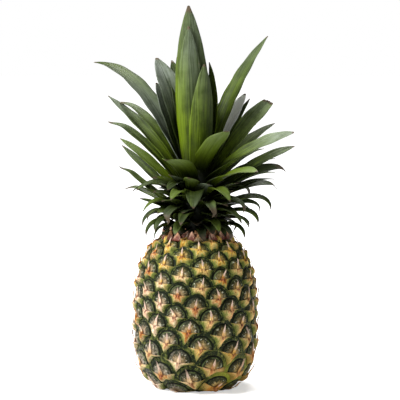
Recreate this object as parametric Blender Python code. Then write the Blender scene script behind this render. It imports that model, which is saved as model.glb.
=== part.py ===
"""A whole pineapple standing on the cut end of its stalk.

Three pieces: the fruit with its spiral of eyes, the leafy crown fused on its own short stem, and the
stalk's cut end in the fruit's foot. Dimensions are in millimetres here and turned into metres as each
mesh is made. +Z is up, the origin is on the ground under the stalk, and the side seen first is -Y.
"""

import math

import bmesh
import bpy
import numpy as np

MM = 0.001
SEED = 5
CREASE_ANGLE = 40.0

# The fruit's outline: a superellipse turned about Z, cut flat at the ground.
FRUIT_RADIUS = 60.0
BELLY_HEIGHT = 62.5
FOOT_REACH = 67.0
TOP_REACH = 92.5
FULLNESS = 3.0

# The spiral of eyes, counted up and down from the row where they stand closest together.
EYES_BELOW = 97
EYES_ABOVE = 54
TIGHT_EYE_ARC = 127.0
LEAST_RISE = 0.857
RISE_SPREAD = 4.43e-5
TIGHT_EYE_TURN = -15.6
DIVERGENCE = 137.2
DIVERGENCE_FALL = 0.0031
ROW_LEAN = 3.0
EYE_SCATTER = 0.5
SUNNY_SWELL = 0.22
SUNNY_ARCS = (92.0, 122.0)

# Rings of bare cells that close the ends: which end (-1 the foot), radius and count.
PLAIN_RINGS = ((-1, 20.0, 9), (-1, 8.0, 4), (1, 10.0, 5))
PLAIN_TURN = 0.2

# The relief of one eye.
GROOVE_DEPTH = 1.5
DOME_RISE = 1.5
SHIELD_RISE = 0.8
RIM_SHARE = 0.80
RIM_RISE = 0.7
EDGE_BOW = 0.25
ROOT_SHARE = 0.24
SPIKE_RISE = 6.5
SPIKE_OUT = 2.6
PLAIN_RADIUS = 18.0
FULL_RADIUS = 28.0

# The stalk's cut end, flush with the ground in a recess of the foot.
STALK_RADIUS = 15.0
STALK_DEPTH = 4.0
FIT_GAP = 0.3
ROUND_SIDES = 32

# The crown: a short stem, and leaves given by where they grow and how they bend.
STEM_FOOT = 155.3
STEM_OUTLINE = ((20.0, STEM_FOOT), (20.0, 170.0), (17.0, 195.0), (12.0, 220.0), (4.0, 245.0))
STEM_SIDES = 14
BLADE_MIDDLE = 1.7
BLADE_EDGE = 0.7
BLADE_THINNING = 0.45
ROOT_CUP = 75.0
TIP_CUP = 18.0
ROOT_DEPTH = 3.5
FULLEST_WAY = 0.42
ROOT_TUCK = 0.40
TAPER = 0.77
TIP_WAY = 0.985

# Turn about the stem, root height, length, width, lift at the root and at the tip, bend, sideways lean,
# twist, and how full the tip is: a plain point at two, a blunt end above four.
TALL_LEAVES = (
    (-105, 208, 172, 38, 91, 88, 1.5, -1.3, 0, 1.9),
    (80, 220, 118, 30, 91, 90, 1.5, 0, 0, 1.9),
    (-68, 205, 118, 27, 84, 91, 1.5, 1, 0, 1.9),
    (15, 214, 112, 16, 74, 104, 1.2, 0, 30, 1.9),
    (42, 206, 172, 25, 69, 43, 1.5, 0, 0, 1.9),
    (38, 204, 103, 22, 63, 54, 1.5, 0, 0, 5),
    (34, 204, 100, 16, 60, 52, 1.5, 0, 0, 2.5),
    (28, 200, 120, 25, 56, 38, 1.4, 0, 22, 5),
    (30, 196, 105, 22, 50, 24, 1.5, 0, 12, 2),
    (150, 212, 162, 28, 62, 3, 2.8, 2, -12, 2.6),
    (130, 214, 127, 32, 74, 52, 1.6, 0, 0, 4),
    (140, 206, 106, 25, 71, 62, 1.5, 0, 0, 3.5),
    (155, 202, 124, 29, 53, 37, 1.2, 0, -10, 1.9),
    (150, 206, 118, 17, 61, 24, 1.5, 0, -15, 2.5),
)
ARCHED_LEAVES = (
    (-14, 204, 103, 28, 42, 17, 1.2, 0, 30, 3),
    (14, 187, 104, 17, 40, 17, 1.5, 0, 28, 3.5),
    (8, 188, 86, 16, 36, -2, 1.8, 0, 30, 3.5),
    (-40, 194, 72, 20, 44, -6, 1.2, 0, 20, 3),
    (20, 183, 79, 14, 29, -10, 1.5, 0, 30, 2.5),
    (158, 196, 110, 15, 53, 28, 1.3, 0, -25, 2.5),
    (160, 188, 90, 15, 50, 30, 1.4, 0, -25, 2.5),
    (152, 180, 92, 14, 42, 39, 1.3, 0, -20, 2.5),
    (160, 176, 79, 12, 30, 46, 1.4, 0, -20, 2.5),
    (158, 172, 68, 11, 34, 14, 1.5, 0, -20, 2.5),
    (170, 172, 44, 10, 28, 12, 1.5, 0, -20, 2.5),
    (-125, 202, 50, 31, 62, 2, 1.3, 0, 0, 3),
    (-54, 213, 64, 28, 60, 28, 1.3, 0, 0, 3),
    (-125, 199, 37, 18, 38, -40, 1.2, 0, 0, 1.9),
    (-92, 190, 48, 21, 42, -70, 1.2, 0, 0, 1.9),
    (0, 180, 68, 11, 17, -95, 4.5, 0, 28, 3.5),
    (14, 175, 62, 10, 18, -105, 4, 0, 28, 3),
    (-12, 171, 55, 10, 17, -95, 3.4, 0, 28, 3),
    (10, 165, 47, 9, 14, -95, 3, 0, 28, 3),
    (-4, 159, 41, 9, 22, -96, 2, 0, 28, 2.5),
    (176, 169, 45, 12, 28, -84, 1.8, 0, -28, 2.5),
    (-165, 161, 44, 9, 34, -90, 1.6, 0, -25, 2.5),
)

# Leaves placed by rule: the back of the crown, and the short hooked ones around its foot.
GOLDEN_ANGLE = 137.5
BACK_LEAVES = 14
BACK_FIRST_TURN = 25.0
BACK_SPREAD = 130.0
BACK_LEAF_ROOT = (176.0, 230.0)
BACK_LEAF_LENGTH = (84.0, 140.0, 100.0)
BACK_LEAF_WIDTH = (17.0, 28.0)
BACK_LEAF_LIFT = (36.0, 82.0)
BACK_LEAF_FALL = (44.0, 22.0)
BACK_BEND = 1.5
HOOKED_LEAVES = 34
HOOKED_LEAF_ROOT = (157.5, 191.5)
HOOKED_CROWDING = 1.4
HOOKED_LEAF_LENGTH = (30.0, 58.0)
HOOKED_LEAF_WIDTH = (11.0, 16.0)
HOOKED_LEAF_LIFT = (34.0, 48.0)
HOOKED_TIP_LIFT = (-84.0, -40.0)
HOOKED_BEND = 1.2
POINTED = 1.9

FRUIT_SKIN = ("fruit_skin", (0.42, 0.27, 0.10), 0.55)
LEAF_GREEN = ("leaf_green", (0.05, 0.11, 0.025), 0.45)
STALK_FLESH = ("stalk_flesh", (0.50, 0.38, 0.20), 0.80)


def clear_scene():
    for thing in list(bpy.data.objects):
        bpy.data.objects.remove(thing)


def material(name, colour, roughness):
    made = bpy.data.materials.new(name)
    made.use_nodes = True
    shader = made.node_tree.nodes["Principled BSDF"]
    shader.inputs["Base Color"].default_value = (*colour, 1.0)
    shader.inputs["Roughness"].default_value = roughness
    shader.inputs["Metallic"].default_value = 0.0
    return made


def mesh_object(name, bm, finish=None):
    """An object of this bmesh, turned from millimetres into metres, with its own finish."""
    bmesh.ops.recalc_face_normals(bm, faces=bm.faces)
    bmesh.ops.scale(bm, vec=(MM, MM, MM), verts=bm.verts)
    mesh = bpy.data.meshes.new(name)
    bm.to_mesh(mesh)
    bm.free()
    if finish:
        mesh.materials.append(material(*finish))
    made = bpy.data.objects.new(name, mesh)
    bpy.context.scene.collection.objects.link(made)
    return made


def apply_modifiers(thing):
    """The object's mesh as its modifiers leave it, with the modifiers taken off."""
    bpy.context.view_layer.update()
    seen = thing.evaluated_get(bpy.context.evaluated_depsgraph_get())
    thing.data = bpy.data.meshes.new_from_object(seen)
    thing.modifiers.clear()


def fill_cavities(thing):
    """Keep the outer surface only, so that what the leaves closed off between them is solid."""
    bm = bmesh.new()
    bm.from_mesh(thing.data)
    left = set(bm.faces)
    shells = []
    while left:
        shell = {left.pop()}
        edge_of_shell = list(shell)
        while edge_of_shell:
            face = edge_of_shell.pop()
            near = {other for edge in face.edges for other in edge.link_faces} & left
            left -= near
            shell |= near
            edge_of_shell.extend(near)
        shells.append(shell)
    outer = max(shells, key=len)
    inner = [face for shell in shells if shell is not outer for face in shell]
    bmesh.ops.delete(bm, geom=inner, context="FACES")
    bm.to_mesh(thing.data)
    bm.free()


# ---------------------------------------------------------------- the fruit


def fruit_outline():
    """Height, radius, arc length from the ground and isometric latitude along the fruit's side.

    The latitude is the integral of arc over radius: it maps the side onto a sphere without changing
    angles, so that neighbours found on the sphere are neighbours on the fruit.
    """
    turn = np.linspace(0.004, math.pi - 0.004, 20001)
    low = BELLY_HEIGHT - FOOT_REACH
    high = BELLY_HEIGHT + TOP_REACH
    height = low + (high - low) * (1 - np.cos(turn)) / 2
    reach = np.where(height < BELLY_HEIGHT, FOOT_REACH, TOP_REACH)
    share = np.abs((height - BELLY_HEIGHT) / reach) ** FULLNESS
    radius = FRUIT_RADIUS * (1 - share) ** (1 / FULLNESS)
    step = np.hypot(np.diff(height), np.diff(radius))
    arc = np.concatenate([[0], np.cumsum(step)])
    latitude = np.concatenate([[0], np.cumsum(step / (radius[1:] + radius[:-1]) * 2)])
    latitude -= latitude[-1] / 2
    return height, radius, arc - np.interp(0, height, arc), latitude


HEIGHT, RADIUS, ARC, LATITUDE = fruit_outline()


def eye_centres():
    """Turn in radians and arc length of each eye of the spiral, lowest first.

    The upper eyes are wider on the -Y side, where the fruit ripened first, and closer behind.
    """
    draw = np.random.default_rng(SEED)
    count = np.arange(-EYES_BELOW, EYES_ABOVE + 1)
    arc = TIGHT_EYE_ARC + LEAST_RISE * count + RISE_SPREAD * count**3
    turn = np.radians(TIGHT_EYE_TURN + DIVERGENCE * count - DIVERGENCE_FALL * count**2)
    arc = arc + ROW_LEAN * np.cos(turn) + draw.normal(0, EYE_SCATTER, len(count))
    turn = turn + draw.normal(0, EYE_SCATTER, len(count)) / FRUIT_RADIUS
    swell = SUNNY_SWELL * np.interp(arc, SUNNY_ARCS, (0, 1))
    return turn + swell * np.sin(turn + math.pi / 2), arc


def plain_centres():
    """The bare cells that close the foot and the top inside the first and last eyes."""
    turn = [np.arange(count) * math.tau / count + PLAIN_TURN for _, _, count in PLAIN_RINGS]
    arc = []
    for end, radius, count in PLAIN_RINGS:
        half = HEIGHT < BELLY_HEIGHT if end < 0 else HEIGHT >= BELLY_HEIGHT
        order = np.argsort(RADIUS[half])
        arc.append(np.full(count, np.interp(radius, RADIUS[half][order], ARC[half][order])))
    return np.concatenate(turn), np.concatenate(arc)


def on_sphere(turn, arc):
    latitude = np.interp(arc, ARC, LATITUDE)
    flat = 1 / np.cosh(latitude)
    return np.column_stack([flat * np.cos(turn), flat * np.sin(turn), np.tanh(latitude)])


def off_sphere(points):
    points = points / np.linalg.norm(points, axis=-1, keepdims=True)
    latitude = np.arctanh(np.clip(points[..., 2], -0.999999, 0.999999))
    return np.arctan2(points[..., 1], points[..., 0]), np.interp(latitude, LATITUDE, ARC)


def cell_corners(centres):
    """For each centre, the directions of its cell's corners in order around it.

    The hull of points on a sphere is their Delaunay mesh, and the normal of a hull face points at the
    corner that its three cells share.
    """
    bm = bmesh.new()
    for centre in centres:
        bm.verts.new(centre)
    bmesh.ops.convex_hull(bm, input=bm.verts)
    bm.verts.ensure_lookup_table()
    bm.normal_update()
    cells = []
    for vertex, centre in zip(bm.verts, centres, strict=True):
        corners = np.array([face.normal * math.copysign(1, face.normal.dot(vertex.co))
                            for face in vertex.link_faces])
        east = np.cross((0, 0, 1), centre)
        east /= np.linalg.norm(east)
        north = np.cross(centre, east)
        cells.append(corners[np.argsort(np.arctan2(corners @ north, corners @ east))])
    bm.free()
    return cells


def on_fruit(turn, arc, out):
    """Points this far out of the fruit's side, kept above the ground."""
    height = np.interp(arc, ARC, HEIGHT)
    radius = np.interp(arc, ARC, RADIUS)
    along = 0.5
    lean_out = np.interp(arc + along, ARC, RADIUS) - np.interp(arc - along, ARC, RADIUS)
    lean_up = np.interp(arc + along, ARC, HEIGHT) - np.interp(arc - along, ARC, HEIGHT)
    length = np.maximum(np.hypot(lean_out, lean_up), 1e-9)
    radius = radius + out * lean_up / length
    height = np.maximum(height - out * lean_out / length, 0)
    return np.column_stack([radius * np.cos(turn), radius * np.sin(turn), height])


def relief(arc):
    """How much of the eyes' relief stands here: all of it, but for the hidden middle of either end."""
    radius = np.interp(arc, ARC, RADIUS)
    return np.clip((radius - PLAIN_RADIUS) / (FULL_RADIUS - PLAIN_RADIUS), 0, 1)


def eye_edge(corners):
    """The cell's corners and, between them, the middles of its edges, bowed up.

    A middle moves square to its edge towards the upper eye, most where the edge lies level, so that the
    top of every eye is round.
    """
    following = np.roll(corners, -1, axis=0)
    first_turn, first_arc = off_sphere(corners)
    last_turn, last_arc = off_sphere(following)
    turn, arc = off_sphere(corners + following)
    radius = np.interp((first_arc + last_arc) / 2, ARC, RADIUS)
    around = ((last_turn - first_turn + math.pi) % math.tau - math.pi) * radius
    up = last_arc - first_arc
    length = np.maximum(np.hypot(around, up), 1e-9)
    bow = EDGE_BOW * np.abs(around)
    side = np.where(around < 0, -1.0, 1.0)
    turn = turn - bow * up * side / length / np.interp(arc, ARC, RADIUS)
    arc = arc + bow * np.abs(around) / length
    return np.column_stack([first_turn, turn]).ravel(), np.column_stack([first_arc, arc]).ravel()


def eye_mesh(bm, turn, arc, corners):
    """One eye: its outline in the groove, its rim, and the spike that rises from its middle.

    The outline takes the cell's corners and the middles of its edges. The rim repeats it nearer the
    middle and stands out, more so below, where the bract's shield is. The root of the spike is a ring
    of the corners alone, and its tip is drawn up and out.
    """
    edge_turn, edge_arc = eye_edge(corners)
    away = (edge_turn - turn + math.pi) % math.tau - math.pi
    rise = edge_arc - arc
    lower = np.clip(-rise / (np.abs(rise).max() + 1e-9), -0.3, 1)

    def ring(share, out):
        return on_fruit(turn + away * share, arc + rise * share, out)

    here = relief(arc)
    groove = ring(1.0, -GROOVE_DEPTH * relief(edge_arc))
    rim = ring(RIM_SHARE, (DOME_RISE + SHIELD_RISE * lower) * RIM_RISE * here)
    root = ring(ROOT_SHARE, np.full(len(away), DOME_RISE * here))[::2]
    tip = on_fruit(np.array([turn]), np.array([arc + SPIKE_RISE * here]), (DOME_RISE + SPIKE_OUT) * here)

    groove = [bm.verts.new(point) for point in groove]
    rim = [bm.verts.new(point) for point in rim]
    root = [bm.verts.new(point) for point in root]
    tip = bm.verts.new(tip[0])
    count = len(rim)
    for i in range(count):
        j = (i + 1) % count
        bm.faces.new((groove[i], groove[j], rim[j]))
        bm.faces.new((groove[i], rim[j], rim[i]))
    for i in range(count // 2):
        j = (i + 1) % (count // 2)
        first, middle, last = rim[2 * i], rim[2 * i + 1], rim[(2 * i + 2) % count]
        bm.faces.new((first, middle, root[i]))
        bm.faces.new((middle, root[j], root[i]))
        bm.faces.new((middle, last, root[j]))
        bm.faces.new((root[i], root[j], tip))


def make_fruit():
    turn, arc = eye_centres()
    plain_turn, plain_arc = plain_centres()
    turn = np.concatenate([turn, plain_turn])
    arc = np.concatenate([arc, plain_arc])
    cells = cell_corners(on_sphere(turn, arc))
    bm = bmesh.new()
    for eye_turn, eye_arc, corners in zip(turn, arc, cells, strict=True):
        eye_mesh(bm, eye_turn, eye_arc, corners)
    bmesh.ops.remove_doubles(bm, verts=bm.verts, dist=0.01)
    fruit = mesh_object("fruit", bm, FRUIT_SKIN)
    recess = cylinder("stalk_recess", STALK_RADIUS + FIT_GAP, -STALK_DEPTH, STALK_DEPTH + FIT_GAP)
    cut = fruit.modifiers.new("stalk_recess", "BOOLEAN")
    cut.operation = "DIFFERENCE"
    cut.object = recess
    apply_modifiers(fruit)
    bpy.data.objects.remove(recess)
    fruit.data.shade_smooth()
    fruit.data.set_sharp_from_angle(angle=math.radians(CREASE_ANGLE))


def cylinder(name, radius, bottom, top, finish=None):
    bm = bmesh.new()
    bmesh.ops.create_cone(bm, cap_ends=True, segments=ROUND_SIDES, radius1=radius, radius2=radius,
                          depth=top - bottom)
    bmesh.ops.translate(bm, vec=(0, 0, (top + bottom) / 2), verts=bm.verts)
    return mesh_object(name, bm, finish)


def make_stalk_end():
    cylinder("stalk_end", STALK_RADIUS, 0.0, STALK_DEPTH, STALK_FLESH)


# ---------------------------------------------------------------- the crown


def stem_radius(height):
    radii, heights = zip(*STEM_OUTLINE, strict=True)
    return float(np.interp(height, heights, radii))


def leaf_path(leaf, rings):
    """Points along a leaf's mid-rib, with the directions along it, across it and out of its upper face.

    The lift falls from its value at the root to its value at the tip as a power of the way along, and the
    blade is twisted about its mid-rib.
    """
    turn, root, length, _, lift, tip_lift, bend, lean, twist, _ = leaf
    way = np.linspace(0, 1, rings)
    fine = np.linspace(0, 1, 97)
    turn = math.radians(turn)
    slope = np.radians(lift + (tip_lift - lift) * fine**bend)
    out = np.cumsum(np.cos(slope)) * length / len(fine) + stem_radius(root) - ROOT_DEPTH
    up = np.cumsum(np.sin(slope)) * length / len(fine) + root
    slope = np.interp(way, fine, slope)
    out = np.interp(way, fine, out)
    up = np.interp(way, fine, up)
    across = np.tile([-math.sin(turn), math.cos(turn), 0], (rings, 1))
    middle = np.column_stack([out * math.cos(turn), out * math.sin(turn), up])
    middle += across * (way * length * math.tan(math.radians(lean)))[:, None]
    face = np.column_stack([-np.sin(slope) * math.cos(turn), -np.sin(slope) * math.sin(turn), np.cos(slope)])
    roll = np.radians(twist * way**0.5)[:, None]
    rolled = across * np.cos(roll) + face * np.sin(roll)
    return way, middle, rolled, face * np.cos(roll) - across * np.sin(roll)


def leaf_width(way, fullness):
    """Share of the full width: a little drawn in at the root, fullest before the middle, then a taper."""
    clasp = 1 - ROOT_TUCK * (1 - np.clip(way / FULLEST_WAY, 0, 1)) ** 2
    beyond = np.clip((way - FULLEST_WAY) / (1 - FULLEST_WAY), 0, TIP_WAY)
    return clasp * (1 - beyond**fullness) ** TAPER


def leaf_mesh(leaf):
    """A closed channelled blade: six points around at each ring, and a point at the tip."""
    rings = 6 if leaf[2] > HOOKED_LEAF_LENGTH[1] else 5
    way, middle, across, face = leaf_path(leaf, rings)
    half = leaf[3] / 2 * leaf_width(way, leaf[9])
    cup = np.radians(ROOT_CUP + (TIP_CUP - ROOT_CUP) * way**0.6)
    side = half * np.sin(cup) / cup
    depth = half * (1 - np.cos(cup)) / cup
    thick = BLADE_MIDDLE * (1 - BLADE_THINNING * way) / 2
    thin = BLADE_EDGE / 2
    reach = np.column_stack([-side, np.zeros(rings), side, side, np.zeros(rings), -side])
    lift = np.column_stack([depth - thin, -thick, depth - thin, depth + thin, thick, depth + thin])
    points = middle[:, None] + across[:, None] * reach[..., None] + face[:, None] * lift[..., None]
    bm = bmesh.new()
    loops = [[bm.verts.new(point) for point in ring] for ring in points]
    for lower, upper in zip(loops, loops[1:], strict=False):
        for i in range(6):
            j = (i + 1) % 6
            bm.faces.new((lower[i], lower[j], upper[j], upper[i]))
    bm.faces.new(loops[0][::-1])
    bm.faces.new(loops[-1])
    bmesh.ops.triangulate(bm, faces=bm.faces)
    return bm


def ruled_leaves():
    """The leaves that follow the spiral: the back of the crown, then the hooked ones around its foot."""
    draw = np.random.default_rng(SEED)
    leaves = []
    for i in range(BACK_LEAVES):
        share = i / (BACK_LEAVES - 1)
        turn = BACK_FIRST_TURN + (GOLDEN_ANGLE * i + draw.uniform(-6, 6)) % BACK_SPREAD
        length = np.interp(share, (0, 0.7, 1), BACK_LEAF_LENGTH)
        width = np.interp(share, (0, 1), BACK_LEAF_WIDTH)
        root = np.interp(share, (0, 1), BACK_LEAF_ROOT)
        lift = np.interp(share, (0, 1), BACK_LEAF_LIFT) + draw.uniform(-4, 4)
        tip_lift = lift - np.interp(share, (0, 1), BACK_LEAF_FALL)
        leaves.append((turn, root, length, width, lift, tip_lift, BACK_BEND, 0, 0, POINTED))
    for i in range(HOOKED_LEAVES):
        share = i / (HOOKED_LEAVES - 1)
        turn = GOLDEN_ANGLE * i + draw.uniform(-8, 8)
        length = np.interp(share, (0, 1), HOOKED_LEAF_LENGTH) * draw.uniform(0.9, 1.1)
        width = np.interp(share, (0, 1), HOOKED_LEAF_WIDTH)
        root = np.interp(share**HOOKED_CROWDING, (0, 1), HOOKED_LEAF_ROOT)
        lift = np.interp(share, (0, 1), HOOKED_LEAF_LIFT) + draw.uniform(-5, 5)
        tip_lift = np.interp(share, (0, 1), HOOKED_TIP_LIFT) + draw.uniform(-10, 10)
        leaves.append((turn, root, length, width, lift, tip_lift, HOOKED_BEND, 0, 0, POINTED))
    return leaves


def stem_mesh():
    """The stem as a profile turned about Z, with its sides twisted clear of the leaves' own corners."""
    bm = bmesh.new()
    turn = np.arange(STEM_SIDES) * math.tau / STEM_SIDES + 0.11
    loops = []
    for radius, height in STEM_OUTLINE:
        ring = [(radius * math.cos(a), radius * math.sin(a), height) for a in turn]
        loops.append([bm.verts.new(point) for point in ring])
    for lower, upper in zip(loops, loops[1:], strict=False):
        for i in range(STEM_SIDES):
            j = (i + 1) % STEM_SIDES
            bm.faces.new((lower[i], lower[j], upper[j], upper[i]))
    bm.faces.new(loops[0][::-1])
    bm.faces.new(loops[-1])
    return bm


def make_crown():
    crown = mesh_object("crown", stem_mesh(), LEAF_GREEN)
    repeats = bpy.data.collections.new("crown_leaves")
    leaves = [*TALL_LEAVES, *ARCHED_LEAVES, *ruled_leaves()]
    for leaf in leaves:
        blade = mesh_object("crown_leaf", leaf_mesh(leaf))
        bpy.context.scene.collection.objects.unlink(blade)
        repeats.objects.link(blade)
    bpy.context.scene.collection.children.link(repeats)
    union = crown.modifiers.new("leaves", "BOOLEAN")
    union.operation = "UNION"
    union.operand_type = "COLLECTION"
    union.collection = repeats
    union.solver = "MANIFOLD"
    apply_modifiers(crown)
    for blade in list(repeats.objects):
        bpy.data.objects.remove(blade)
    bpy.data.collections.remove(repeats)
    fill_cavities(crown)
    crown.data.shade_smooth()
    crown.data.set_sharp_from_angle(angle=math.radians(CREASE_ANGLE))


def main():
    clear_scene()
    make_fruit()
    make_stalk_end()
    make_crown()


main()
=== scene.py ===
import math

import bmesh
import bpy
import numpy as np
from bpy.props import FloatProperty, FloatVectorProperty, PointerProperty
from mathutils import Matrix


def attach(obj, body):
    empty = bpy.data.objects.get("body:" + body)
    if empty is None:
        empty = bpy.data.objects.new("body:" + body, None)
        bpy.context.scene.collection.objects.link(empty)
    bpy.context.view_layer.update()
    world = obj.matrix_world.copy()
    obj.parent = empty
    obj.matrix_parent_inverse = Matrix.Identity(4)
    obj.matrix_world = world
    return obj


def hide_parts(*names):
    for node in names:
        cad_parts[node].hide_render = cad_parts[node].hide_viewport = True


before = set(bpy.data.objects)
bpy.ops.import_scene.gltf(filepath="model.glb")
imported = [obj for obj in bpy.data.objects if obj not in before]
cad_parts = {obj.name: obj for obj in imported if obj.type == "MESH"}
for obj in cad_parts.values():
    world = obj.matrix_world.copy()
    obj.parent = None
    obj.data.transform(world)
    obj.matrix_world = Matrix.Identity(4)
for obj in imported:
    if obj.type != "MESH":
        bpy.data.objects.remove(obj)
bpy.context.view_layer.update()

bl_info = {
    "name": "Pineapple",
    "version": (1, 0, 0),
    "blender": (4, 5, 0),
    "location": "3D View > Sidebar > Pineapple",
    "description": "A whole pineapple: its skin of eyes, their bracts, its crown and the stalk's cut end",
    "category": "Add Mesh",
}

BODY = "root"
MM = 0.001
SEED = 5

# The fruit's outline: a superellipse turned about Z, cut flat at the ground. All sizes in millimetres.
FRUIT_RADIUS = 60.0
BELLY_HEIGHT = 62.5
FOOT_REACH = 67.0
TOP_REACH = 92.5
FULLNESS = 3.0

# The spiral of eyes, counted up and down from the row where they stand closest together.
EYES_BELOW = 97
EYES_ABOVE = 54
TIGHT_EYE_ARC = 127.0
LEAST_RISE = 0.857
RISE_SPREAD = 4.43e-5
TIGHT_EYE_TURN = -15.6
DIVERGENCE = 137.2
DIVERGENCE_FALL = 0.0031
ROW_LEAN = 3.0
EYE_SCATTER = 0.5
SUNNY_SWELL = 0.22
SUNNY_ARCS = (92.0, 122.0)

# Rings of bare cells in the middle of either end: which end, radius and count.
PLAIN_RINGS = ((-1, 20.0, 9), (-1, 8.0, 4), (1, 10.0, 5))
PLAIN_TURN = 0.2
PLAIN_RADIUS = 18.0
FULL_RADIUS = 28.0

# The relief of one eye, and its disc: the unit circle stretched onto the eye's outline.
EDGE_STEPS = 8
EDGE_BOW = 0.25
EYE_LEVELS = np.array([0.15, 0.30, 0.44, 0.56, 0.67, 0.75, 0.81, 0.86, 0.91, 0.955, 1.0])
DOME_LEVEL = 0.91
DOME_SHARE = 0.99
DOME_REACH = 12.6
DOME_FLATNESS = 5
DOME_ROUNDING = 0.62
WIDE_SHARE = 1.03
ROUND_LIMIT = 0.97
ROUNDNESS = 8.0
GROOVE_WAY = 0.93
LIP_DEPTH = 0.5
LIP_WAVE = 0.25
LIP_WAVE_LENGTH = 6.0
CREASE_DEPTH = 0.55
CREASE_WIDTH = 0.055
WRINKLE = 0.16
WRINKLE_LENGTH = 3.1

# A bract, in its eye's disc, and how it stands off the skin in millimetres.
BRACT_MIDDLE = -0.16
BRACT_EDGE = 0.955
BRACT_LEVELS = np.array([0.16, 0.32, 0.48, 0.63, 0.76, 0.88, 1.0])
BACK_LEVELS = np.array([1.0, 0.6, 0.3])
WING_WIDTH = 0.06
SPIKE_LENGTH = 0.92
SPIKE_WIDTH = 0.16
STAR_BLEND = 2.5
BRACT_SWELL = 1.1
BRACT_KEEL = 0.8
FREE_EDGE = 0.55
CRINKLE = 0.22
CRINKLE_LENGTH = 2.4

# Rings of small bracts around the crown's foot: radius, count, length and width.
COLLAR_RINGS = ((23.0, 13, 9.0, 11.0), (28.5, 16, 10.0, 12.0), (33.5, 18, 9.0, 12.0))
COLLAR_TILT = math.radians(48)

# The stalk's cut end.
STALK_RADIUS = 15.0
STALK_DEPTH = 4.0
STALK_STAND = 0.3
STALK_SIDES = 72

# The stem, as radii at heights, and the shape of every leaf.
STEM_OUTLINE = ((20.0, 155.3), (20.0, 170.0), (17.0, 195.0), (12.0, 220.0), (4.0, 245.0))
STEM_SIDES = 64
ROOT_CUP = 75.0
TIP_CUP = 18.0
ROOT_DEPTH = 3.5
FULLEST_WAY = 0.42
ROOT_TUCK = 0.40
TAPER = 0.77
TIP_WAY = 0.985
KEEL = 1.45
FRONT_KEEL = 2.0
SHORT_LEAF = 64.0
LONG_GRID = (30, 7)
SHORT_GRID = (18, 5)
EDGE_WAVE = 0.035
EDGE_WAVE_LENGTH = 4.4
RAGGED = 1.8
MAP_SCALE = 0.01

# The tip of a leaf that is dry for longer than this hooks down, over the last part of its way.
HOOK_DRY = 10.0
HOOK_START = 0.8
HOOK_DROP = 6.0

# The leaves that follow the spiral.
GOLDEN_ANGLE = 137.5
BACK_LEAVES = 14
BACK_FIRST_TURN = 25.0
BACK_SPREAD = 130.0
BACK_LEAF_ROOT = (176.0, 230.0)
BACK_LEAF_LENGTH = (84.0, 140.0, 100.0)
BACK_LEAF_WIDTH = (17.0, 28.0)
BACK_LEAF_LIFT = (36.0, 82.0)
BACK_LEAF_FALL = (44.0, 22.0)
BACK_BEND = 1.5
HOOKED_LEAVES = 34
HOOKED_LEAF_ROOT = (157.5, 191.5)
HOOKED_CROWDING = 1.4
HOOKED_LEAF_LENGTH = (30.0, 58.0)
HOOKED_LEAF_WIDTH = (11.0, 16.0)
HOOKED_LEAF_LIFT = (34.0, 48.0)
HOOKED_TIP_LIFT = (-84.0, -40.0)
HOOKED_BEND = 1.2
POINTED = 1.9
BACK_LOOKS = ("plain", "silver", "dark")
HOOKED_LOOKS = ("plain", "fresh", "dry")

# The small leaves that hide the stem.
FOOT_LEAVES = 52
FOOT_LEAF_ROOT = (156.0, 192.0)
FOOT_LEAF_LENGTH = (20.0, 36.0)
FOOT_LEAF_WIDTH = (14.0, 19.0)
FOOT_LEAF_LIFT = (26.0, 62.0)
FOOT_TIP_LIFT = (-60.0, 10.0)
FOOT_FIRST_TURN = 60.0
FOOT_BEND = 1.3
FOOT_FULLNESS = 2.2
FOOT_LOOKS = ("dark", "shaded", "fresh", "plain")

# How a leaf looks: fresh green (when negative, the left half greener and the right darker: painted light from
# the left), bloom below and above (thickest at the root when negative), length of the dry tip, and the share
# of the leaf that is left where it was cut.
LOOKS = {
    "plain": (0.1, 0.5, 0.25, 5.0, 1.0),
    "dark": (-0.6, 0.5, 0.1, 6.0, 1.0),
    "tall": (-0.85, 0.3, 0.15, 9.0, 1.0),
    "inner": (-0.35, 0.3, 0.15, 4.0, 1.0),
    "nested": (-1.1, 0.45, 0.3, 3.0, 1.0),
    "front": (0.95, 0.45, 0.2, 2.0, 1.0),
    "shaded": (-0.3, 0.8, 0.2, 2.0, 1.0),
    "pale": (0.3, 1.1, 0.9, 3.0, 1.0),
    "bluish": (-0.4, 1.2, 1.3, 3.0, 1.0),
    # Its upper bloom is so thick that the leaf finish paints it near white: silver bloom, brightened as
    # painted light.
    "white": (0.0, 1.0, 6.0, 3.0, 1.0),
    "silver": (-0.5, -1.0, -1.1, 3.0, 1.0),
    "cut": (0.2, 0.4, 0.4, 1.0, 0.93),
    "fresh": (0.9, 0.35, 0.35, 3.0, 1.0),
    "lit": (0.1, 0.8, 1.1, 3.0, 1.0),
    "dry": (0.1, 0.5, 0.4, 14.0, 1.0),
}

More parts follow.
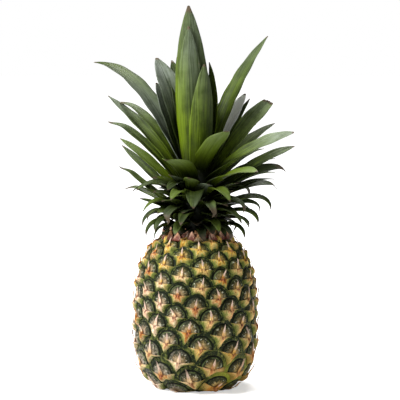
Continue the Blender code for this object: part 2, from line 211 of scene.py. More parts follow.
# Turn about the stem, root height, length, width, lift at the root and at the tip, bend, sideways lean,
# twist, how full the tip is (a plain point at two, a blunt end above four) and look.
LISTED_LEAVES = (
    (-105, 208, 172, 38, 91, 88, 1.5, -1.3, 0, 1.9, "tall"),
    (80, 220, 118, 30, 91, 90, 1.5, 0, 0, 1.9, "inner"),
    (-68, 205, 118, 27, 84, 91, 1.5, 1, 0, 1.9, "inner"),
    (15, 214, 112, 16, 74, 104, 1.2, 0, 30, 1.9, "dark"),
    (42, 206, 172, 25, 69, 43, 1.5, 0, 0, 1.9, "plain"),
    (38, 204, 103, 22, 63, 54, 1.5, 0, 0, 5, "white"),
    (34, 204, 100, 16, 60, 52, 1.5, 0, 0, 2.5, "dark"),
    (28, 200, 120, 25, 56, 38, 1.4, 0, 22, 5, "cut"),
    (30, 196, 105, 22, 50, 24, 1.5, 0, 12, 2, "plain"),
    (150, 212, 162, 28, 62, 3, 2.8, 2, -12, 2.6, "silver"),
    (130, 214, 127, 32, 74, 52, 1.6, 0, 0, 4, "bluish"),
    (140, 206, 106, 25, 71, 62, 1.5, 0, 0, 3.5, "bluish"),
    (155, 202, 124, 29, 53, 37, 1.2, 0, -10, 1.9, "pale"),
    (150, 206, 118, 17, 61, 24, 1.5, 0, -15, 2.5, "dry"),
    (-14, 204, 103, 28, 42, 17, 1.2, 0, 30, 3, "lit"),
    (14, 187, 104, 17, 40, 17, 1.5, 0, 28, 3.5, "plain"),
    (8, 188, 86, 16, 36, -2, 1.8, 0, 30, 3.5, "dry"),
    (-40, 194, 72, 20, 44, -6, 1.2, 0, 20, 3, "fresh"),
    (20, 183, 79, 14, 29, -10, 1.5, 0, 30, 2.5, "dry"),
    (158, 196, 110, 15, 53, 28, 1.3, 0, -25, 2.5, "dry"),
    (160, 188, 90, 15, 50, 30, 1.4, 0, -25, 2.5, "fresh"),
    (152, 180, 92, 14, 42, 39, 1.3, 0, -20, 2.5, "plain"),
    (160, 176, 79, 12, 30, 46, 1.4, 0, -20, 2.5, "dry"),
    (158, 172, 68, 11, 34, 14, 1.5, 0, -20, 2.5, "dry"),
    (170, 172, 44, 10, 28, 12, 1.5, 0, -20, 2.5, "plain"),
    (-125, 202, 50, 31, 62, 2, 1.3, 0, 0, 3, "front"),
    (-54, 213, 64, 28, 60, 28, 1.3, 0, 0, 3, "front"),
    (-125, 199, 37, 18, 38, -40, 1.2, 0, 0, 1.9, "shaded"),
    (-92, 190, 48, 21, 42, -70, 1.2, 0, 0, 1.9, "shaded"),
    (0, 180, 68, 11, 17, -95, 4.5, 0, 28, 3.5, "dark"),
    (14, 175, 62, 10, 18, -105, 4, 0, 28, 3, "dry"),
    (-12, 171, 55, 10, 17, -95, 3.4, 0, 28, 3, "dark"),
    (10, 165, 47, 9, 14, -95, 3, 0, 28, 3, "dry"),
    (-4, 159, 41, 9, 22, -96, 2, 0, 28, 2.5, "dark"),
    (176, 169, 45, 12, 28, -84, 1.8, 0, -28, 2.5, "plain"),
    (-165, 161, 44, 9, 34, -90, 1.6, 0, -25, 2.5, "dark"),
    (-101, 208, 152, 30, 87, 91, 1.5, -1.5, 0, 1.9, "nested"),
)

# The stage, in metres: each light's place and size, and the camera.
FLOOR_REACH = 30.0
LIGHTS = {"key": ((-1.6, -0.9, 1.7), 0.8), "fill": ((1.4, -1.2, 1.3), 0.8), "top": ((0.2, 0.9, 2.0), 0.9)}
LIGHT_AIM = (0, 0, 0.19)
CAMERA_AIM = (0.0045, 0.0, 0.1875)
CAMERA_DISTANCE = 1.6
CAMERA_RISE = math.radians(5)
CAMERA_LENS = 144.0


# ---- settings


class PineappleFruitSettings(bpy.types.PropertyGroup):
    """Sizes and colours of the fruit's eyes."""

    groove: FloatProperty(name="Groove depth", description="How deep the grooves between the eyes are",
                          default=0.0015, unit="LENGTH")
    dome: FloatProperty(name="Dome rise", description="How far the middle of an eye stands out",
                        default=0.0015, unit="LENGTH")
    shield: FloatProperty(name="Shield rise", description="How much more the lower half of an eye stands out",
                          default=0.0008, unit="LENGTH")
    spike: FloatProperty(name="Spike lift", description="How far a bract's tip lifts off the eye",
                         default=0.0040, unit="LENGTH")
    sepal_colour: FloatVectorProperty(name="Sepals", description="Upper half of an eye",
                                      default=(0.013, 0.018, 0.007), subtype="COLOR")
    # Near black: the grooves' dark green, deepened as painted shade.
    groove_colour: FloatVectorProperty(name="Grooves", description="Between the eyes",
                                       default=(0.004, 0.007, 0.002), subtype="COLOR")
    bract_colour: FloatVectorProperty(name="Bracts", description="Shield and wings of an eye",
                                      default=(0.76, 0.46, 0.17), subtype="COLOR")
    sunny_colour: FloatVectorProperty(name="Ripe bracts", description="Bracts of the upper rows",
                                      default=(0.66, 0.40, 0.055), subtype="COLOR")


class PineappleCrownSettings(bpy.types.PropertyGroup):
    """Sizes and colours of the leaves."""

    blade: FloatProperty(name="Blade thickness", description="Of a leaf along its middle",
                         default=0.0015, unit="LENGTH")
    edge: FloatProperty(name="Edge thickness", description="Of a leaf at its edges",
                        default=0.0005, unit="LENGTH")
    leaf_colour: FloatVectorProperty(name="Leaves", description="Upper face of a leaf",
                                     default=(0.031, 0.050, 0.004), subtype="COLOR")
    fresh_colour: FloatVectorProperty(name="Fresh leaves", description="Brightest green",
                                      default=(0.13, 0.195, 0.006), subtype="COLOR")
    silver_colour: FloatVectorProperty(name="Silver bloom", description="Scales on a leaf's lower face",
                                       default=(0.30, 0.34, 0.29), subtype="COLOR")
    dry_colour: FloatVectorProperty(name="Dry tips", description="Where a leaf has dried",
                                    default=(0.045, 0.032, 0.020), subtype="COLOR")


class PineappleStageSettings(bpy.types.PropertyGroup):
    """The floor and the lights."""

    floor_colour: FloatVectorProperty(name="Floor", description="Colour of the floor",
                                      default=(0.88, 0.88, 0.88), subtype="COLOR")
    key_power: FloatProperty(name="Key light", description="Power of the large light at the left",
                             default=84.0, unit="POWER")
    fill_power: FloatProperty(name="Fill light", description="Power of the light at the right",
                              default=5.0, unit="POWER")
    top_power: FloatProperty(name="Top light", description="Power of the light behind and above",
                             default=40.0, unit="POWER")
    surround: FloatProperty(name="Surround", description="Strength of the even light from all sides",
                            default=0.11)


# ---- materials as formulas


class Term:
    """An output of a material's node. Sums and products of it add Math nodes."""

    def __init__(self, finish, socket):
        self.finish, self.socket = finish, socket

    def __add__(self, other):
        return self.finish.math("ADD", self, other)

    def __sub__(self, other):
        return self.finish.math("SUBTRACT", self, other)

    def __rsub__(self, other):
        return self.finish.math("SUBTRACT", other, self)

    def __mul__(self, other):
        return self.finish.math("MULTIPLY", self, other)

    def __truediv__(self, other):
        return self.finish.math("DIVIDE", self, other)

    __radd__ = __add__
    __rmul__ = __mul__

    def size(self):
        """The value without its sign."""
        return self.finish.math("ABSOLUTE", self)

    def power(self, exponent):
        return self.finish.math("POWER", self, exponent)

    def between(self, low, high):
        """A smooth step: 0 at low, 1 at high, either way round."""
        return self.finish.term("MapRange", {0: self, 1: low, 2: high}, interpolation_type="SMOOTHSTEP")

    def near(self, middle, width):
        """A smooth hill of this half-width about a value: 1 there, 0 outside."""
        return (self - middle).size().between(width, 0.0)


class Finish:
    """One material's nodes, written as formulas. Its colour is laid on a ground, layer by layer."""

    def __init__(self, name, roughness, specular=0.5, ground=None):
        self.material = bpy.data.materials.new(name)
        self.material.use_nodes = True
        self.nodes = self.material.node_tree.nodes
        self.links = self.material.node_tree.links
        self.shader = self.nodes["Principled BSDF"]
        self.colour = ground
        self.set("Roughness", roughness)
        self.set("Specular IOR Level", specular)

    def feed(self, socket, value):
        """A link from a term, or a constant on the socket itself."""
        if isinstance(value, Term):
            self.links.new(value.socket, socket)
        elif socket.type == "RGBA":
            socket.default_value = (*value, 1.0)
        else:
            socket.default_value = value

    def add(self, kind, inputs, **settings):
        node = self.nodes.new("ShaderNode" + kind)
        for name, value in settings.items():
            setattr(node, name, value)
        for name, value in inputs.items():
            self.feed(node.inputs[name], value)
        return node

    def term(self, kind, inputs, output=0, **settings):
        return Term(self, self.add(kind, inputs, **settings).outputs[output])

    def math(self, operation, *values):
        return self.term("Math", dict(enumerate(values)), operation=operation)

    def mix(self, share, first, second):
        return self.term("Mix", {0: share, 6: first, 7: second}, output=2, data_type="RGBA")

    def tint(self, colour, share):
        """The colour made lighter or darker by a factor."""
        return self.term("VectorMath", {0: colour, 3: share}, operation="SCALE")

    def lay(self, share, colour):
        """This share of a colour over what is there."""
        self.colour = self.mix(share, self.colour, colour)

    def place(self):
        return self.term("TexCoord", {}, output="Object")

    def uv(self, name):
        return self.term("UVMap", {}, uv_map=name)

    def mark(self, name):
        return self.term("Attribute", {}, output="Vector", attribute_name=name)

    def parts(self, vector):
        return [Term(self, output) for output in self.add("SeparateXYZ", {0: vector}).outputs]

    def vector(self, x, y, z):
        return self.term("CombineXYZ", {0: x, 1: y, 2: z})

    def noise(self, vector, scale, detail=3.0, roughness=0.6):
        return self.term("TexNoise", {"Vector": vector, "Scale": scale, "Detail": detail,
                                      "Roughness": roughness})

    def bump(self, height, distance):
        self.set("Normal", self.term("Bump", {"Height": height, "Distance": distance, "Strength": 1.0}))

    def set(self, name, value):
        self.feed(self.shader.inputs[name], value)


# ---- meshes from arrays


def ring_quads(rows, columns):
    """Quads of rows of points, each row a closed loop, numbered row by row."""
    row = np.arange(rows - 1)[:, None] * columns
    here = np.arange(columns)
    there = (here + 1) % columns
    quads = [row + here, row + there, row + columns + there, row + columns + here]
    return np.stack(quads, axis=-1).reshape(-1, 4)


def fan(middle, ring):
    """Triangles from one point to a closed loop of points."""
    return np.stack([np.full(len(ring), middle), ring, np.roll(ring, -1)], axis=-1)


class Shapes:
    """Several closed shapes gathered into one mesh, with maps and marks for their points."""

    def __init__(self):
        self.points, self.quads, self.triangles, self.flat, self.marks = [], [], [], [], []
        self.count = 0

    def add(self, points, quads, triangles, flat, mark):
        """Points in millimetres, faces numbered within the shape, a map and a mark for each point."""
        self.points.append(points)
        self.quads.append(quads + self.count)
        self.triangles.append(triangles + self.count)
        self.flat.append(flat)
        self.marks.append(np.broadcast_to(mark, (len(points), 3)))
        self.count += len(points)

    def add_rings(self, grid, ends, flat, mark):
        """A closed shape: rows of points, each row a closed loop, with a fan to a point over either end."""
        rows, sides = grid.shape[:2]
        count = rows * sides
        fans = [fan(count, np.arange(sides)[::-1]), fan(count + 1, np.arange(count - sides, count))]
        points = np.concatenate([grid.reshape(-1, 3), ends])
        self.add(points, ring_quads(rows, sides), np.concatenate(fans), flat, mark)

    def add_blade(self, upper, lower, past_tip, aside, along, mark):
        """A closed blade: two sheets that meet at their sides, mapped by the way aside and the way along."""
        grid = np.concatenate([upper, lower[:, ::-1]], axis=1)
        ends = [grid[0].mean(axis=0), grid[-1].mean(axis=0) + past_tip]
        aside, along = np.broadcast_arrays(aside, along)
        sheets = np.stack([aside, along], axis=-1)
        flat = np.concatenate([sheets, sheets[:, ::-1]], axis=1).reshape(-1, 2)
        flat = np.concatenate([flat, [[0, along[0, 0]], [0, along[-1, 0]]]])
        self.add_rings(grid, ends, flat, mark)

    def piece(self, name, map_name, mark_name, finish, weld=0.0):
        """The mesh object, at the origin, riding on the one body.

        Points that stand together are merged where there is a weld distance. The marks are then the faces'.
        """
        points, marks = np.concatenate(self.points) * MM, np.concatenate(self.marks)
        triangles, quads = np.concatenate(self.triangles), np.concatenate(self.quads)
        mesh = bpy.data.meshes.new(name)
        mesh.from_pydata(points.tolist(), [], triangles.tolist() + quads.tolist())
        corners = np.empty(len(mesh.loops), np.int32)
        mesh.loops.foreach_get("vertex_index", corners)
        layer = mesh.uv_layers.new(name=map_name)
        layer.uv.foreach_set("vector", np.concatenate(self.flat)[corners].astype(np.float32).ravel())
        if weld:
            marks = marks[np.concatenate([triangles[:, -1], quads[:, -1]])]
        attribute = mesh.attributes.new(mark_name, "FLOAT_VECTOR", "FACE" if weld else "POINT")
        attribute.data.foreach_set("vector", marks.astype(np.float32).ravel())
        bm = bmesh.new()
        bm.from_mesh(mesh)
        if weld:
            bmesh.ops.remove_doubles(bm, verts=bm.verts, dist=weld * MM)
        bmesh.ops.recalc_face_normals(bm, faces=bm.faces)
        bm.to_mesh(mesh)
        bm.free()
        mesh.shade_smooth()
        mesh.materials.append(finish)
        made = bpy.data.objects.new(name, mesh)
        bpy.context.scene.collection.objects.link(made)
        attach(made, BODY)
        return made


def ripple(points, length, seed):
    """A smooth wave over space, seldom past 1 either way: the sum of seven sines along seeded directions."""
    draw = np.random.default_rng(seed)
    along = draw.normal(size=(7, 3))
    along *= math.tau / length / np.linalg.norm(along, axis=1, keepdims=True)
    return np.sin(points @ along.T + draw.uniform(0, math.tau, 7)).sum(axis=-1) / 3.5


# ---- the fruit


def fruit_outline():
    """Height, radius, arc length from the ground and isometric latitude along the fruit's side.

    The radius is the full one times the cube root of one less the cube of the share of reach from the
    belly. The latitude is the integral of arc over radius.
    """
    turn = np.linspace(0.004, math.pi - 0.004, 20001)
    low = BELLY_HEIGHT - FOOT_REACH
    high = BELLY_HEIGHT + TOP_REACH
    height = low + (high - low) * (1 - np.cos(turn)) / 2
    reach = np.where(height < BELLY_HEIGHT, FOOT_REACH, TOP_REACH)
    share = np.abs((height - BELLY_HEIGHT) / reach) ** FULLNESS
    radius = FRUIT_RADIUS * (1 - share) ** (1 / FULLNESS)
    step = np.hypot(np.diff(height), np.diff(radius))
    arc = np.concatenate([[0], np.cumsum(step)])
    latitude = np.concatenate([[0], np.cumsum(step / (radius[1:] + radius[:-1]) * 2)])
    latitude -= latitude[-1] / 2
    return height, radius, arc - np.interp(0, height, arc), latitude


HEIGHT, RADIUS, ARC, LATITUDE = fruit_outline()


def eye_centres():
    """Turn in radians and arc length of each eye: even turns by the divergence, rising by a cubic."""
    draw = np.random.default_rng(SEED)
    count = np.arange(-EYES_BELOW, EYES_ABOVE + 1)
    arc = TIGHT_EYE_ARC + LEAST_RISE * count + RISE_SPREAD * count**3
    turn = np.radians(TIGHT_EYE_TURN + DIVERGENCE * count - DIVERGENCE_FALL * count**2)
    arc = arc + ROW_LEAN * np.cos(turn) + draw.normal(0, EYE_SCATTER, len(count))
    turn = turn + draw.normal(0, EYE_SCATTER, len(count)) / FRUIT_RADIUS
    swell = SUNNY_SWELL * np.interp(arc, SUNNY_ARCS, (0, 1))
    return turn + swell * np.sin(turn + math.pi / 2), arc


def plain_centres():
    """The bare cells that close the foot and the top inside the first and last eyes."""
    turn = [np.arange(count) * math.tau / count + PLAIN_TURN for _, _, count in PLAIN_RINGS]
    arc = []
    for end, radius, count in PLAIN_RINGS:
        half = HEIGHT < BELLY_HEIGHT if end < 0 else HEIGHT >= BELLY_HEIGHT
        order = np.argsort(RADIUS[half])
        arc.append(np.full(count, np.interp(radius, RADIUS[half][order], ARC[half][order])))
    return np.concatenate(turn), np.concatenate(arc)


def on_sphere(turn, arc):
    """Directions on the unit sphere of points of the fruit, which keep their isometric latitude."""
    latitude = np.interp(arc, ARC, LATITUDE)
    flat = 1 / np.cosh(latitude)
    return np.column_stack([flat * np.cos(turn), flat * np.sin(turn), np.tanh(latitude)])


def off_sphere(points):
    """Turn and arc length of directions on the unit sphere."""
    points = points / np.linalg.norm(points, axis=-1, keepdims=True)
    latitude = np.arctanh(np.clip(points[..., 2], -0.999999, 0.999999))
    return np.arctan2(points[..., 1], points[..., 0]), np.interp(latitude, LATITUDE, ARC)


def cell_corners(centres):
    """For each centre, the directions of its cell's corners in order around it.

    The hull of points on a sphere is their Delaunay mesh, and the normal of a hull face points at the
    corner that its three cells share.
    """
    bm = bmesh.new()
    for centre in centres:
        bm.verts.new(centre)
    bmesh.ops.convex_hull(bm, input=bm.verts)
    bm.verts.ensure_lookup_table()
    bm.normal_update()
    cells = []
    for vertex, centre in zip(bm.verts, centres, strict=True):
        corners = np.array([face.normal * math.copysign(1, face.normal.dot(vertex.co))
                            for face in vertex.link_faces])
        east = np.cross((0, 0, 1), centre)
        east /= np.linalg.norm(east)
        north = np.cross(centre, east)
        cells.append(corners[np.argsort(np.arctan2(corners @ north, corners @ east))])
    bm.free()
    return cells


def on_fruit(turn, arc, out):
    """Points this far out of the fruit's side, kept above the ground and clear of the stalk's cut end.

    Out is square to the outline, whose lean is taken between two points half a millimetre to either side.
    """
    arc = np.clip(arc, ARC[0], ARC[-1])
    height = np.interp(arc, ARC, HEIGHT)
    radius = np.interp(arc, ARC, RADIUS)
    along = 0.5
    lean_out = np.interp(arc + along, ARC, RADIUS) - np.interp(arc - along, ARC, RADIUS)
    lean_up = np.interp(arc + along, ARC, HEIGHT) - np.interp(arc - along, ARC, HEIGHT)
    length = np.hypot(lean_out, lean_up)
    radius = radius + out * lean_up / length
    ground = STALK_STAND * np.clip((STALK_RADIUS + 3 - radius) / 2, 0, 1)
    height = np.maximum(height - out * lean_out / length, ground)
    return np.stack([radius * np.cos(turn), radius * np.sin(turn), height], axis=-1)


def relief(arc):
    """How much of the eyes' relief stands here: all of it, but for the hidden middle of either end."""
    radius = np.interp(arc, ARC, RADIUS)
    return np.clip((radius - PLAIN_RADIUS) / (FULL_RADIUS - PLAIN_RADIUS), 0, 1)


def arched(turn, arc, first_turn, first_arc, last_turn, last_arc, step):
    """The edges between eyes, bowed up so that the lower eye's top is round.

    Each point moves square to its edge, towards the upper eye, by a parabola of the way along it. The move
    is greatest where the edge lies level, and none where it stands upright.
    """
    around = ((last_turn - first_turn + math.pi) % math.tau - math.pi) * np.interp(
        (first_arc + last_arc) / 2, ARC, RADIUS)
    up = last_arc - first_arc
    length = np.hypot(around, up) + 1e-9
    level = np.abs(around) / length
    bow = (EDGE_BOW * length * level)[:, None] * 4 * step.T * (1 - step.T)
    side = np.where(around < 0, -1.0, 1.0)
    turn = turn + bow * (-up * side / length)[:, None] / np.interp(arc, ARC, RADIUS)
    arc = arc + bow * (around * side / length)[:, None]
    return turn.ravel(), arc.ravel()


class Eye:
    """One eye's place, its outline in its own disc, and the rounded outline of its dome.

    The rounded outline is a smooth least of the eye's own outline and a circle. The circle is wide in the
    lower half and narrower in the upper one.
    """

    def __init__(self, turn, arc, corners, draw):
        self.turn, self.arc = turn, arc
        self.draws = draw.uniform(0, 1, 8)
        step = np.arange(EDGE_STEPS)[:, None] / EDGE_STEPS
        following = np.roll(corners, -1, axis=0)
        rim = corners[:, None, :] * (1 - step) + following[:, None, :] * step
        places = [part for points in (rim, corners, following) for part in off_sphere(points)]
        edge_turn, self.edge_arc = arched(*places, step)
        self.away = (edge_turn - turn + math.pi) % math.tau - math.pi
        self.rise = self.edge_arc - arc
        self.radius = float(np.interp(arc, ARC, RADIUS))
        self.bearing = np.arctan2(self.rise, self.away * self.radius)
        self.reach = np.hypot(self.away * self.radius, self.rise)
        mean = self.reach.mean()
        wide, round_top = (
            (self.reach**-ROUNDNESS + circle**-ROUNDNESS) ** (-1 / ROUNDNESS)
            for circle in (mean * WIDE_SHARE, min(mean * DOME_SHARE, DOME_REACH)))
        top_share = np.clip((np.sin(self.bearing) + 0.45) / 0.35, 0, 1)
        self.rounded = np.minimum(wide + (round_top - wide) * top_share, ROUND_LIMIT * self.reach)

    def at(self, bearing, values):
        """These values of the outline's points, at other bearings."""
        order = np.argsort(self.bearing)
        return np.interp(bearing, self.bearing[order], values[order], period=math.tau)

    def spot(self, x, y, out):
        """Points of the fruit at these places of the disc, this far out."""
        share, bearing = np.hypot(x, y), np.arctan2(y, x)
        reach = self.at(bearing, self.reach)
        turn = self.turn + share * reach * np.cos(bearing) / self.radius
        return on_fruit(turn, self.arc + share * reach * np.sin(bearing), out)

    def dome(self, x, y, fruit):
        """Height of the skin at these places of the disc, without its wrinkles.

        A dome with a flat top and sides that fall steeply into the groove: one less a high power of the way
        to the groove, to a power below one. Past the groove a lip rises to the eye's outline, by a smooth
        step. The lower half stands further out, and three creases part the sepals, each a narrow bell.
        """
        share, bearing = np.hypot(x, y), np.arctan2(y, x)
        way = np.clip(share * self.at(bearing, self.reach) / self.at(bearing, self.rounded), 0, 1)
        groove, dome, shield = fruit.groove / MM, fruit.dome / MM, fruit.shield / MM
        inner = np.clip(way / GROOVE_WAY, 0, 1)
        beyond = np.clip((way - GROOVE_WAY) / (1 - GROOVE_WAY), 0, 1)
        height = -groove + (groove + dome) * (1 - inner**DOME_FLATNESS) ** DOME_ROUNDING
        height = height + (groove - LIP_DEPTH) * beyond**2 * (3 - 2 * beyond)
        height = height + shield * np.clip(-y * 1.6, 0, 1) * (1 - way**6)
        for i in range(3):
            crease = math.pi / 2 + i * math.tau / 3 + (self.draws[i] - 0.5) * 0.7
            off = ((bearing - crease + math.pi) % math.tau - math.pi) * share
            depth = CREASE_DEPTH * np.clip(share * 4, 0, 1) * (1 - way**4)
            height = height - depth * np.exp(-((off / CREASE_WIDTH) ** 2))
        return height * relief(self.arc)


def all_eyes():
    """Every eye and bare cell of the fruit, and how many of them are eyes."""
    turn, arc = (np.concatenate(both) for both in zip(eye_centres(), plain_centres(), strict=True))
    cells = cell_corners(on_sphere(turn, arc))
    draw = np.random.default_rng(SEED + 1)
    eyes = [Eye(*row, draw) for row in zip(turn, arc, cells, strict=True)]
    return eyes, len(eyes) - sum(count for _, _, count in PLAIN_RINGS)


def fruit_skin(fruit):
    """The skin: for each eye, rings of points from its middle to its outline, which its neighbours share.

    The inner rings repeat the dome's rounded outline, and the last ones pass over to the eye's own. Each
    point stands out by the eye's dome and by a fine ripple.
    """
    shapes = Shapes()
    origin = np.zeros(1)
    share = EYE_LEVELS[:, None]
    for eye in all_eyes()[0]:
        inside = eye.rounded / eye.reach
        level = np.where(share < DOME_LEVEL, share / DOME_LEVEL * inside,
                         inside + (share - DOME_LEVEL) / (1 - DOME_LEVEL) * (1 - inside))
        x, y = level * np.cos(eye.bearing), level * np.sin(eye.bearing)
        turn, arc = eye.turn + eye.away * level, eye.arc + eye.rise * level
        flat = on_fruit(turn, arc, 0 * level)
        out = eye.dome(x, y, fruit) + WRINKLE * ripple(flat, WRINKLE_LENGTH, 3) * relief(eye.arc)
        out[-1] = (-LIP_DEPTH + LIP_WAVE * ripple(flat[-1], LIP_WAVE_LENGTH, 4)) * relief(eye.edge_arc)
        middle = eye.spot(origin, origin, eye.dome(origin, origin, fruit))
        points = np.concatenate([middle, on_fruit(turn, arc, out).reshape(-1, 3)])
        count = len(eye.bearing)
        quads = ring_quads(len(EYE_LEVELS), count) + 1
        disc = np.concatenate([[[0, 0]], np.stack([x / inside, y / inside], axis=-1).reshape(-1, 2)])
        shapes.add(points, quads, fan(0, np.arange(1, count + 1)), disc, eye.draws[3:6])
    return shapes.piece("fruit_skin", "eye", "eye_look", skin_finish(fruit), weld=0.001)


def bract_outline(eye):
    """Bearings and reaches of a bract's outline about its own middle, in the eye's disc.

    A star: two wings that reach the eye's side corners, and a spike. Each is a narrow triangle, whose reach
    at a bearing off its own is half its width over the sum of that angle's sine and its cosine times the
    triangle's slope. The three are blended by adding their powers, so the sides between them are hollow.
    Below the wings, the outline is the eye's edge.
    """
    middle = BRACT_MIDDLE + 0.06 * (eye.draws[0] - 0.5)
    corners = eye.bearing[::EDGE_STEPS]

    def wing_bearing(side):
        off = (corners - side * 0.15 - (0 if side > 0 else math.pi) + math.pi) % math.tau - math.pi
        corner = corners[np.argmin(np.abs(off))]
        tip = math.atan2(BRACT_EDGE * math.sin(corner) - middle, BRACT_EDGE * side * abs(math.cos(corner)))
        level = tip if side > 0 else math.pi - tip % math.tau
        return min(max(level, -0.05), 0.55)

    right_wing, left_wing = wing_bearing(1), wing_bearing(-1)
    top = math.pi / 2 + 0.55 * (eye.draws[2] - 0.5)
    spike = SPIKE_LENGTH + 0.4 * (eye.draws[6] - 0.5)
    ease = (1 - np.cos(np.linspace(0, math.pi, 13))) / 2
    right = right_wing + (top - right_wing) * ease
    left = top + (math.pi - left_wing - top) * ease[1:]
    below = np.linspace(math.pi - left_wing, math.tau + right_wing, 20)[1:-1]
    bearing = np.concatenate([right, left, below])
    slope = np.sin(bearing) * middle
    edge = -slope + np.sqrt(slope**2 + BRACT_EDGE**2 - middle**2)
    reach = edge.copy()
    upper = np.arange(len(bearing)) < len(right) + len(left)

    def lobe(off, width, length):
        off = np.abs(off)
        reach = width / (np.sin(off) + width / length * np.cos(off) + 1e-9)
        return np.where(off < 1.4, reach, 0.0) ** STAR_BLEND

    wings = sum(lobe(bearing - wing, WING_WIDTH, edge[0]) for wing in (right_wing, math.pi - left_wing))
    star = (wings + lobe(bearing - top, SPIKE_WIDTH, spike)) ** (1 / STAR_BLEND)
    reach[upper] = np.minimum(star, np.where(np.abs(bearing - top) < 0.5, spike, edge))[upper]
    return bearing, reach, middle, top, spike


def bract_shell(shapes, eye, fruit):
    """One bract: a closed shell of rings, from its middle out over its face and back in below it.

    The face swells between the wings, has a keel up to the spike, and stands off the dome along its upper
    edge. Along the spike it lifts by a power of the way to its tip and curls aside by its square.
    """
    bearing, reach, middle, top, spike = bract_outline(eye)
    stands = float(relief(eye.arc))
    near_spike = np.exp(-(((bearing - top) / 0.30) ** 2))
    upper = np.clip(np.sin(bearing) * 2, 0, 1)

    def sheet(rings, above):
        x = rings * reach * np.cos(bearing)
        y = middle + rings * reach * np.sin(bearing)
        along = np.clip(rings * reach / spike, 0, 1) * near_spike
        x = x + along**2 * 0.34 * (eye.draws[7] - 0.5)
        swell = BRACT_SWELL * np.exp(-(((y + 0.36) / 0.30) ** 2) - (x / 0.80) ** 2)
        keel = BRACT_KEEL * np.exp(-((x / 0.11) ** 2)) * np.clip((y + 0.75) * 2, 0, 1)
        free = FREE_EDGE * upper * rings**2
        lift = fruit.spike / MM * along**1.6 * (0.7 + 0.6 * eye.draws[4])
        far = np.hypot(x, y)
        bow = far / np.clip(far, 0.01, ROUND_LIMIT)
        out = eye.dome(x / bow, y / bow, fruit) + (swell + keel * (1 - along) + free + lift) * stands + above
        crinkle = ripple(eye.spot(x, y, out) * [1.6, 1.6, 0.7], CRINKLE_LENGTH, 6) * (1 - along) * (rings < 1)
        return eye.spot(x, y, out + CRINKLE * crinkle * stands), np.stack([x, y, along], axis=-1)

    level, back_level, zero = BRACT_LEVELS[:, None], BACK_LEVELS[:, None], np.zeros((1, 1))
    sheets = [sheet(level, np.where(level < 1, 0.45, 0.30)),
              sheet(back_level, np.where(back_level < 1, -0.25, -0.05))]
    grid, look = (np.concatenate(both) for both in zip(*sheets, strict=True))
    ends = [sheet(zero, above + zero)[0][0, 0] for above in (0.5, -0.3)]
    look = np.concatenate([look.reshape(-1, 3), [[0, middle, 0]] * 2])
    mark = np.tile(eye.draws[3:6], (len(look), 1))
    mark[:, 2] = look[:, 2]
    shapes.add_rings(grid, ends, look[:, :2], mark)


def eye_bracts(fruit):
    """The bracts of all eyes but those in the hidden middle of either end."""
    shapes = Shapes()
    eyes, count = all_eyes()
    for eye in eyes[:count]:
        if relief(eye.arc) >= 0.3:
            bract_shell(shapes, eye, fruit)
    return shapes.piece("eye_bracts", "eye", "bract_look", bract_finish(fruit))


def collar_scale(shapes, draw, first, turn, reach, width):
    """A closed pointed scale: a sheet tilted up from the fruit, whose half width falls by a power of the way.

    It bows out at its mid-rib, by one less the square of s, and its tip leans out by the square of the way.
    """
    way, s = np.linspace(0, 1, 9)[:, None], np.linspace(-1, 1, 9)[None, :]
    half = width / 2 * (1 - way) ** 0.85 + 0.15
    lean = draw.uniform(-0.25, 0.25)
    bow = (1 - s**2) * (1 - 0.4 * way) + draw.uniform(0.5, 2.5) * way**2

    def sheet(above):
        arc = first + way * reach * math.cos(COLLAR_TILT) - (bow + above) * math.sin(COLLAR_TILT)
        lift = 0.3 + way * reach * math.sin(COLLAR_TILT) + (bow + above) * math.cos(COLLAR_TILT)
        away = (lean * reach * way**2 - s * half) / np.interp(first, ARC, RADIUS)
        return on_fruit(turn + away, arc, lift)

    shapes.add_blade(sheet(0.3), sheet(-0.3), 0.0, s, way, draw.uniform(0, 1, 3))


def collar_bracts():
    """The small bracts around the crown's foot: rings of scales that rise off the fruit's top."""
    draw = np.random.default_rng(SEED + 3)
    shapes = Shapes()
    top = HEIGHT >= BELLY_HEIGHT
    order = np.argsort(RADIUS[top])
    for radius, count, length, width in COLLAR_RINGS:
        for i in range(count):
            turn = (i + draw.uniform(-0.2, 0.2)) * math.tau / count
            first = np.interp(radius + draw.uniform(-1, 1), RADIUS[top][order], ARC[top][order])
            collar_scale(shapes, draw, first, turn, length * draw.uniform(0.8, 1.2), width)
    return shapes.piece("collar_bracts", "scale", "scale_look", collar_finish())


def collar_finish():
    """Collar scales: red-brown and green at the root, pink and cream towards the tip, with fine ribs."""
    f = Finish("collar_bracts", 0.5)
    s, way, _ = f.parts(f.uv("scale"))
    first, second, _ = f.parts(f.mark("scale_look"))
    ribs = f.noise(f.vector(s * 7.0, way * 1.5, first * 20.0), 1.6)
    grain = f.noise(f.place(), 900.0)
    f.colour = f.mix(second.between(0.6, 0.8), (0.15, 0.026, 0.009), (0.09, 0.09, 0.010))
    f.lay((way + (ribs - 0.5) * 1.5).between(0.28, 0.85),
          f.mix(first.between(0.3, 0.7), (0.80, 0.44, 0.28), (0.55, 0.24, 0.07)))
    f.lay(ribs.between(0.52, 0.64) * way.between(0.05, 0.4) * 0.75, (0.90, 0.66, 0.48))
    f.lay(way.between(0.88, 1.0) * 0.7, (0.12, 0.05, 0.025))
    f.set("Base Color", f.tint(f.colour, 0.55 + grain * 0.9))
    f.bump(ribs * 0.6 + grain * 0.4, 0.0010)
    return f.material


